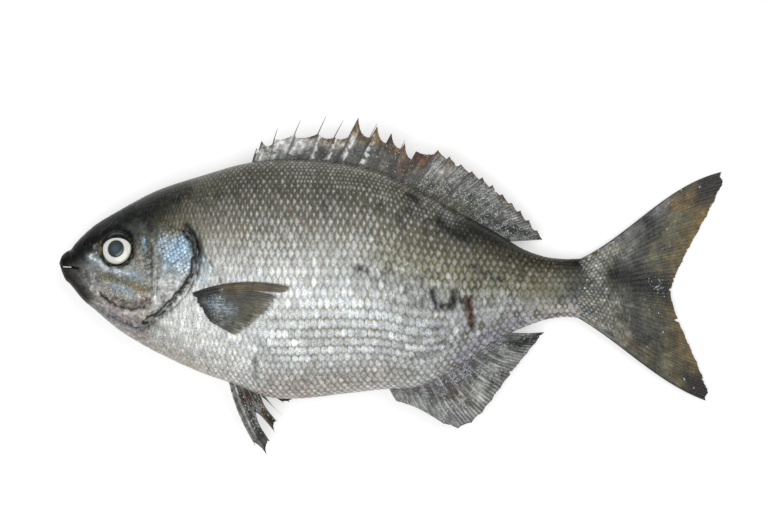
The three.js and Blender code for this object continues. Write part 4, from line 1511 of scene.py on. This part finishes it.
# The tail's root: flesh that thins out over the fin, under rows of ever smaller scales.
rootShape = {
    "upper": [(298, 2.2), (309, 1.4), (318, 3), (330, 9.5), (345, 18)],
    "lower": [(298, -33.6), (309, -32.6), (318, -34.4), (330, -41.8), (345, -51)],
    "halfWidths": [(298, 7.2), (307, 6.5), (320, 4.6), (330, 2.6), (337, 1.0), (341, 0.3), (352, 0.2)],
    "rings": [298, 298.05, 298.5, *np.linspace(299.5, 339, 40), 340, 340.8, 341],
    "rows": 10,  # above and below the middle one
    "scales": (314, 345),
    "ragged": (-3, 5),  # how much earlier or later a row may end
    "pitches": (3.3, 1.5),
    "leaf": 0.36,
}
rootUpperAt, rootLowerAt = through(rootShape["upper"]), through(rootShape["lower"])
rootWidthAt = through(rootShape["halfWidths"])


def paintRoot(x, y, leftSide):
    # the trunk's tones turn into the tail fin's
    onTail = toned(tailLook["shades"], np.interp(x, [316, 373], [0, 1]))
    nearX, nearY = wander(x, y, *finMarks)
    for mark in tailLook["marks"]:
        onTail = stroke(onTail, nearX, nearY, mark)
    return mix(paintFlank(x, y, leftSide), onTail, ease(x, 308, 330)[:, None])


def makeTailRoot():
    places = np.array(rootShape["rings"])
    flesh, ring, turn = newBall("tailRoot", 96, len(places) - 1)
    x = places[ring]
    wide = rootWidthAt(x) * np.where((ring == 0) | (ring == len(places) - 1), 0, 1)
    y = mix(rootLowerAt(x), rootUpperAt(x), 0.5 + 0.5 * np.sin(turn) * np.where(wide > 0, 1, 0))
    across = np.sign(np.cos(turn)) * np.abs(np.cos(turn)) ** 0.9
    movePoints(flesh, x, y, middleAt(x) + wide * across)
    tint(flesh, gritty(paintRoot(x, y, np.cos(turn) > 0), x, y, 0.9))
    smooth(flesh, 40)
    dress(flesh, skinMaterial, "scaled_skin")


def makeRootScales(side, word):
    start, end = rootShape["scales"]
    rows = rootShape["rows"]
    spots = []
    for row in range(-rows, rows + 1):
        place = start + 1.7 * (row % 2)
        while place < end - 3 * abs(row / rows) ** 2 + random.uniform(*rootShape["ragged"]):
            pitch = mix(*rootShape["pitches"], (place - start) / 38)
            spots.append((place, row, pitch))
            place += pitch
    x0, row0, pitch = np.array(spots).T[:, :, None]
    tilt = dice.normal(0, 0.06, x0.shape)
    x = x0 + plateAlong * pitch
    level = (row0 + plateAcross) / (rows + 1.5)
    y = mix(rootLowerAt(x), rootUpperAt(x), 0.5 + 0.5 * level)
    lift = (plateHeight + 0.45) * pitch / 3.6 + 0.08 + tilt * fromHeart
    z = middleAt(x) + side * (rootWidthAt(x) * np.sqrt(1 - np.clip(level, -1, 1) ** 2) ** 0.9 + lift)
    ground = paintRoot(x.ravel(), y.ravel(), np.full(x.size, side > 0))
    ground = gritty(ground, x.ravel(), y.ravel(), 0.7).reshape(*x.shape, 3)
    contrast = mix(1, 0.25, ease(x0, 318, 344)).reshape(-1, 1, 1)
    layPlates(f"rootScales{word}", intoFrame(x, y, z), ground, rootShape["leaf"], "scaled_skin", contrast)


# Back fin: eleven spines with torn webs between them, then a long low soft part.
backFin = {
    "mesh": (14, 56, 0.8),
    "root": [116.4, 118.8, 126, 135.2, 148.5, 157.5, 166.6, 178.7, 189.6, 198, 206],
    "lean": [2.8, 3.4, 6, 10.7, 13.3, 14.5, 14.5, 13.7, 11.5, 11.3, 10.1],
    "rise": [8.8, 12.8, 20.3, 24.4, 27.7, 25.1, 27.5, 25.7, 22.3, 21.3, 18.2],
    "bare": [0.3, 0.4, 0.3, 0.36, 0.37, 0.36, 0.3, 0.25, 0.22, 0.25, 0.1],
    "climb": [1, 1, 0, 0, 0, 0, 1, 1, 1, 1, 1],  # whether the web behind a spine reaches its tip
    "width": [1, 1.3, 1, 1, 1, 1, 1.2, 1.2, 1.3, 1.3, 1.5],  # how soon the web's edge has fallen, in gaps
    "softRays": 12,
    "softRoots": (212, 268),
    "softTips": ((229.5, 68.9), (295.8, 14.1)),
    "softArch": 3.6,
    "softStep": 0.085,
    "rootDepth": 4,
    "drop": 3,  # how far the edge sinks below the root, to the table
    "spine": (1.6, 0.35, 0.4),  # its thickness at the root and at the tip, and how far it bends
}
spinyLook = {
    "shades": [(0, "drab"), (0.3, "drab"), (0.44, "pearl"), (0.58, "ochre"), (0.7, "rust"), (1, "rust")],
    "marks": [
        ([(120, 66), (124, 72)], 4, "ochre", 0.7),
        ([(122, 68), (134, 73), (146, 73)], 6, "white", 0.65),
        ([(140, 84), (142, 90)], 4, "pearl", 0.8),
        ([(150, 80), (172, 79)], 3.5, "rust", 0.9),
        ([(176, 82), (183, 90)], 5, "gold", 1),
        ([(189, 76), (195, 84)], 5, "gold", 1),
        ([(206, 68), (211, 73)], 4, "gold", 0.9),
        ([(182, 62), (196, 60), (208, 58)], 4, "olive", 0.8),
        ([(184, 68), (198, 62), (212, 57)], 7.5, "drab", 1),
        ([(209, 58), (219, 66)], 5.5, "rust", 1),
    ],
    "blotches": 0.9,
    "streakGrain": 9,
    "between": 0.9,
    "onRay": 1.1,
    "streaks": 0.5,
    "edge": ("rust", 0.05, 0.7),
}
softLook = {
    "shades": [(0, "olive"), (0.4, "drab"), (0.8, "pewter"), (1, "rust")],
    "marks": [
        ([(222, 52), (236, 44), (250, 34)], 3, "olive", 0.7),
        ([(224, 56), (238, 54)], 5, "pearl", 0.6),
        ([(229, 66), (240, 60)], 3, "ochre", 0.8),
        ([(268, 38), (272, 34)], 3, "olive", 0.8),
        ([(258, 24), (276, 20), (292, 14)], 4, "slate", 0.9),
    ],
    "blotches": 0.8,
    "streakGrain": 9,
    "between": 0.6,
    "onRay": 1.5,
    "streaks": 0.6,
    "edge": ("rust", 0.06, 0.75),
}


def makeBackFin():
    depth = backFin["rootDepth"]
    spines = [
        (x, float(backAt(x)) - depth, x + lean, float(backAt(x)) + rise)
        for x, lean, rise in zip(backFin["root"], backFin["lean"], backFin["rise"])
    ]
    soft = []
    for t in np.linspace(0, 1, backFin["softRays"]):
        x = mix(*backFin["softRoots"], t)
        arch = backFin["softArch"] * math.sin(math.pi * t)
        tipX, tipY = mix(*np.array(backFin["softTips"]), t) + arch
        soft.append((x, float(backAt(x)) - depth, tipX, tipY))
    bare, climb, width = (np.array(backFin[key], float) for key in ("bare", "climb", "width"))

    def reachAt(gap, share, t):
        spiny = np.minimum(gap, len(spines) - 1)
        fallen = np.minimum(1, share * width[spiny])
        falling = 1 - bare[spiny] * (1 - (1 - fallen) ** 2)
        level = 1 - bare[spiny] - 0.05 * np.sin(math.pi * share)
        torn = mix(level, falling, climb[spiny]) - 0.012 - 0.012 * np.abs(np.sin(share * 17 + gap))
        stepped = 1 - backFin["softStep"] * np.sqrt(share) - frayed(t, 0.012, 120, 4.0)
        return np.where(gap < len(spines), torn, stepped)

    def colourAt(x, y, run, place, ridge):
        share = place - np.floor(place)
        spiny = place < len(spines)
        colour = np.where(
            spiny[:, None],
            paintFin(spinyLook, x, y, run, place, ridge),
            paintFin(softLook, x, y, run, place, ridge),
        )
        patches = np.clip(0.6 + 2.4 * roughly(x, y, 2.6, 84.0), 0, 1.1)
        behind = 0.2 + 0.16 * roughly(x, y, 5, 86.0)
        streak = bell(share - behind, 0.11) * between(run, (0.08, 0.2), (0.6, 0.86))
        colour = over(colour, "white", streak * patches * (place > 1) * (place < 7.6))
        # painted shadow: a thin dark line beside each spine
        colour = over(colour, "slate", 0.6 * bell(np.minimum(share, 1 - share), 0.07) * spiny)
        silver = ease(roughly(x, y, 7, 88.0), -0.1, 0.25) * bell(share - 0.55, 0.3)
        return colour, np.where(spiny, 0.04, 0.12 + 0.45 * silver) * ease(-run, -0.98, -0.85)

    heightAt = heightOverMiddle(backFin["drop"])
    web = finSheet("backFinWeb", backFin["mesh"], spines + soft, reachAt, heightAt, steadyBow(0, 0), colourAt)
    dress(web, finMaterial, "fin_web", "dorsal_fin")

    def spineColour(share, turn):
        colour = toned([(0.5, "drab"), (0.85, "pearl")], share)
        # paler at the spine's two sides and darker on its top and underside: painted highlight and shade
        # round each spine
        return colour * (1 + 0.3 * np.cos(turn * 2))[:, None]

    makeSpines("backFinSpines", spines, backFin["drop"], *backFin["spine"], spineColour)


# Vent fin: three short spines and eleven soft rays under the rear of the belly.
ventFin = {
    "mesh": (18, 64, 0.8),
    "spineRoots": [198.5, 205, 211],
    "spineTips": [(204.2, -84.4), (210.3, -86.2), (218.2, -89.3)],
    "softRays": 11,
    "softRoots": (218, 268),
    "tipPath": [  # the share of the way along the fin, and the place of a ray's tip there
        (0, 232.9, -98.4), (0.1, 241.7, -101.4), (0.22, 251.4, -96.8), (0.6, 273.2, -69.4), (1, 294.8, -42.6),
    ],
    "rootDepth": 4,
    "drop": 3.5,
    "bow": -0.12,
    "spine": (1.7, 0.4, -0.3),
}
ventFinLook = {
    "shades": [(0, "pearl"), (0.18, "lilac"), (0.4, "pewter"), (0.6, "steel"), (1, "steel")],
    "marks": [
        ([(238, -76), (246, -84)], 4, "rust", 0.6),
        ([(236, -94), (248, -98)], 5, "lilac", 0.8),
        ([(262, -76), (274, -64)], 4, "drab", 0.7),
        ([(276, -50), (292, -44)], 4.5, "slate", 1),
    ],
    "blotches": 0.5,
    "streakGrain": 9,
    "between": 0.56,
    "onRay": 1.45,
    "streaks": 0.7,
    "edge": ("slate", 0.04, 0.5),
}


def makeVentFin():
    depth = ventFin["rootDepth"]
    spines = [
        (x, float(bellyAt(x)) + depth, *tip) for x, tip in zip(ventFin["spineRoots"], ventFin["spineTips"])
    ]
    tipX, tipY = through(ventFin["tipPath"], 1), through(ventFin["tipPath"], 2)
    soft = []
    for t in np.linspace(0, 1, ventFin["softRays"]):
        x = mix(*ventFin["softRoots"], t)
        soft.append((x, float(bellyAt(x)) + depth, float(tipX(t)), float(tipY(t))))

    def reachAt(gap, share, t):
        return 1 - 0.02 * np.sin(math.pi * share) - frayed(t, 0.02, 110, 14.0)

    def colourAt(x, y, run, place, ridge):
        colour = paintFin(ventFinLook, x, y, run, place, ridge)
        rows = 0.5 + 0.5 * np.sin(run * 85 + 2 * roughly(x, y, 6, 93.0))
        colour = colour * (1 - 0.35 * rows * ease(-run, -0.6, -0.25))[:, None]
        silver = ease(roughly(x, y, 9, 98.0), -0.1, 0.3)
        return colour, (0.05 + 0.3 * silver) * ease(-run, -0.97, -0.8)

    heightAt, bowAt = heightOverMiddle(ventFin["drop"]), steadyBow(ventFin["bow"], ventFin["bow"])
    web = finSheet("ventFinWeb", ventFin["mesh"], spines + soft, reachAt, heightAt, bowAt, colourAt)
    dress(web, finMaterial, "fin_web", "anal_fin")

    def spineColour(share, turn):
        return toned([(0, "pearl"), (1, "drab")], share)

    makeSpines("ventFinSpines", spines, ventFin["drop"], *ventFin["spine"], spineColour)


# Side fins lie back along the flanks, the right one swung down under the fish.
sideFin = {
    "mesh": (12, 70, 0.7),
    "rays": 15,
    "pivot": (84, -22),
    "roots": ((80.5, -18.6), (92, -34)),
    "tips": ((140, -14.2), (109, -43.6)),
    "bow": (0.32, -0.08),
    "lie": {1: (0, 1.5), -1: (0.55, 0)},  # each side's swing down, in radians, and its tip's lift
}
sideFinLook = {
    "shades": [(0, "slate"), (0.15, "drab"), (0.5, "drab"), (0.8, "olive"), (1, "pearl")],
    "marks": [
        ([(94, -24), (104, -28)], 5, "mist", 0.7),
        ([(98, -34), (112, -38)], 4, "pewter", 0.8),
        ([(84, -25), (92, -32)], 3, "slate", 0.9),
        ([(86, -18), (98, -14)], 4.5, "ink", 1),
        ([(104, -13), (120, -12), (138, -14)], 5, "ochre", 1),
        ([(112, -19), (128, -19)], 3, "drab", 0.8),
        ([(126, -14), (138, -15)], 3, "ochre", 0.6),
    ],
    "blotches": 0.6,
    "streakGrain": 6,
    "between": 0.6,
    "onRay": 1.5,
    "streaks": 0.9,
    "edge": ("pearl", 0.04, 0.4),
}


def makeSideFin(side, word):
    swing, lift = sideFin["lie"][side]
    pivotX, pivotY = sideFin["pivot"]

    def turned(x, y, angle):
        dx, dy = x - pivotX, y - pivotY
        cos, sin = math.cos(angle), math.sin(angle)
        return pivotX + dx * cos - dy * sin, pivotY + dx * sin + dy * cos

    rays = []
    for t in np.linspace(0, 1, sideFin["rays"]):
        rootX, rootY = mix(*np.array(sideFin["roots"]), t)
        front, back = sideFin["tips"]
        tipX, tipY = mix(front[0], back[0], t**1.25), mix(front[1], back[1], t) - 2 * math.sin(math.pi * t)
        rays.append((*turned(rootX, rootY, -swing), *turned(tipX, tipY, -swing)))

    def reachAt(gap, share, t):
        split = 0.3 * bell(t - 0.15, 0.02)
        comb = 0.07 * np.sqrt(np.sin(math.pi * share)) * ease(t, 0.05, 0.2)
        return 1 - comb - split - frayed(t, 0.05, 70, 24.0 + side) * ease(t, 0.05, 0.2)

    def heightAt(x, y, run):
        off = mix(-0.6, 1.1, np.minimum(1, run * 4)) + lift * run * run
        return np.maximum(skinHeight(x, y, side) + side * off, 0.5)

    def colourAt(x, y, run, place, ridge):
        backX, backY = turned(x, y, swing)
        colour = paintFin(sideFinLook, backX, backY, run, place, ridge)
        colour = over(colour, "ink", 0.6 * bell(place, 0.8))  # its leading edge
        return colour, 0.35 * bell(backX - 98, 5) * bell(backY + 27, 7)

    bowAt = steadyBow(*sideFin["bow"])
    fin = finSheet(f"sideFin{word}", sideFin["mesh"], rays, reachAt, heightAt, bowAt, colourAt)
    dress(fin, finMaterial, "fin_web", f"pectoral_fin_{word.lower()}")


# Throat fins hang under the belly: one spine and five soft rays, the left one split between its rays.
throatFins = {
    "mesh": (24, 70, 1.1),
    "Left": {
        "roots": ((101.5, -66), (119, -72)),
        "tips": [(118, -112.5), (125.2, -118.3), (127, -110), (130.5, -104.8), (131.5, -98), (135.2, -94.3)],
        "splits": [0.08, 0.05, 0.42, 0.08, 0.6],  # how far the web between two rays is split
        "heights": (32, 13),  # of the roots and of the tips
        "bow": -0.2,
    },
    "Right": {
        "roots": ((112, -70), (122, -74)),
        "tips": [(135, -86), (139, -85.8), (140.6, -84.6), (139.5, -82.5), (137, -81), (134, -80)],
        "splits": [0.05, 0.05, 0.05, 0.05, 0.05],
        "heights": (21, 9),
        "bow": 0,
    },
}
throatLook = {
    "shades": [(0, "lilac"), (0.25, "drab"), (0.7, "drab"), (1, "slate")],
    "marks": [
        ([(104, -74), (112, -96), (118, -112)], 2.6, "steel", 0.8),
        ([(114, -82), (120, -92)], 3.5, "rust", 0.8),
        ([(124, -88), (130, -100)], 4, "ochre", 0.6),
        ([(120, -104), (125, -112)], 3, "pewter", 0.7),
    ],
    "blotches": 0.6,
    "streakGrain": 7,
    "between": 0.55,
    "onRay": 1.9,
    "streaks": 0.8,
    "edge": ("pewter", 0.06, 0.3),
}


def makeThroatFin(word):
    shape = throatFins[word]
    count = len(shape["tips"])
    roots = np.array(shape["roots"], float)
    rays = [(*mix(*roots, number / (count - 1)), *tip) for number, tip in enumerate(shape["tips"])]
    splits = np.array(shape["splits"])

    def reachAt(gap, share, t):
        gash = np.sin(math.pi * share) ** 0.35
        return 1 - splits[gap] * gash - frayed(t, 0.03, 40, 33.0)

    def heightAt(x, y, run):
        return mix(*shape["heights"], run**0.8)

    def colourAt(x, y, run, place, ridge):
        silver = bell(x - 119, 4) * bell(y + 90, 9)
        return paintFin(throatLook, x, y, run, place, ridge), 0.05 + 0.5 * silver

    bowAt = steadyBow(shape["bow"], shape["bow"])
    fin = finSheet(f"throatFin{word}", throatFins["mesh"], rays, reachAt, heightAt, bowAt, colourAt, False)
    dress(fin, finMaterial, "fin_web", f"pelvic_fin_{word.lower()}")


makeTail()
makeTailRoot()
for side, word in sideWords.items():
    makeRootScales(side, word)
makeBackFin()
makeVentFin()
for side, word in sideWords.items():
    makeSideFin(side, word)
for word in sideWords.values():
    makeThroatFin(word)
print("fins: done")


# Floor, light and camera.
studio = {
    "cameraPlace": (-0.0061, 0.0178, 1.318),
    "lens": 100,
    "sensor": 36,
    "clip": (0.05, 20),
    "softboxes": {  # place, size and watts
        "key": ((-0.42, -0.3, 1.3), 0.9, 8.6),
        "fill": ((0.5, 0.4, 1.4), 0.9, 7),
    },
    "skyStrength": 0.38,
    "floorSize": 6,
    "floorColour": "#e0e0e0",
    "floorGlow": 0.42,  # the table is lit from below, which keeps the shadow pale
}


def makeStudio():
    bpy.ops.object.select_all(action="DESELECT")
    bpy.ops.mesh.primitive_plane_add(size=studio["floorSize"], location=(0, 0, 0))
    floor = named("floor")
    # Opal acrylic, cast and matt: an even pale glow with almost no reflection.
    material, tree = startMaterial("opalAcrylicTable")
    place = addNode(tree, "TexCoord").outputs["Object"]
    grain = addNode(tree, "TexNoise", {"Scale": 900, "Detail": 2}, {"Vector": place})
    bump = addNode(tree, "Bump", {"Strength": 0.05, "Distance": 0.0001}, {"Height": grain.outputs["Fac"]})
    shader = addNode(
        tree,
        "BsdfPrincipled",
        {
            "Base Color": (*linear(studio["floorColour"]), 1), "Roughness": 0.9, "Specular IOR Level": 0.1,
            "Emission Color": (1, 1, 1, 1), "Emission Strength": studio["floorGlow"],
        },
        {"Normal": bump.outputs[0]},
    )
    endMaterial(tree, shader)
    floor.data.materials.append(material)

    for name, (place, size, power) in studio["softboxes"].items():
        bpy.ops.object.light_add(type="AREA", location=place)
        softbox = bpy.context.object
        softbox.name = name
        softbox.data.size = size
        softbox.data.energy = power
        softbox.rotation_mode = "QUATERNION"
        softbox.rotation_quaternion = (-Vector(place)).to_track_quat("-Z", "Y")

    world = bpy.data.worlds.new("studioSky")
    bpy.context.scene.world = world
    world.use_nodes = True
    sky = world.node_tree.nodes["Background"]
    sky.inputs["Color"].default_value = (1, 1, 1, 1)
    sky.inputs["Strength"].default_value = studio["skyStrength"]

    bpy.ops.object.camera_add(location=studio["cameraPlace"], rotation=(0, 0, 0))
    camera = bpy.context.object
    camera.data.lens = studio["lens"]
    camera.data.sensor_width = studio["sensor"]
    camera.data.clip_start, camera.data.clip_end = studio["clip"]
    bpy.context.scene.camera = camera
    bpy.context.scene.view_settings.view_transform = "Standard"


makeStudio()
print("studio: done")
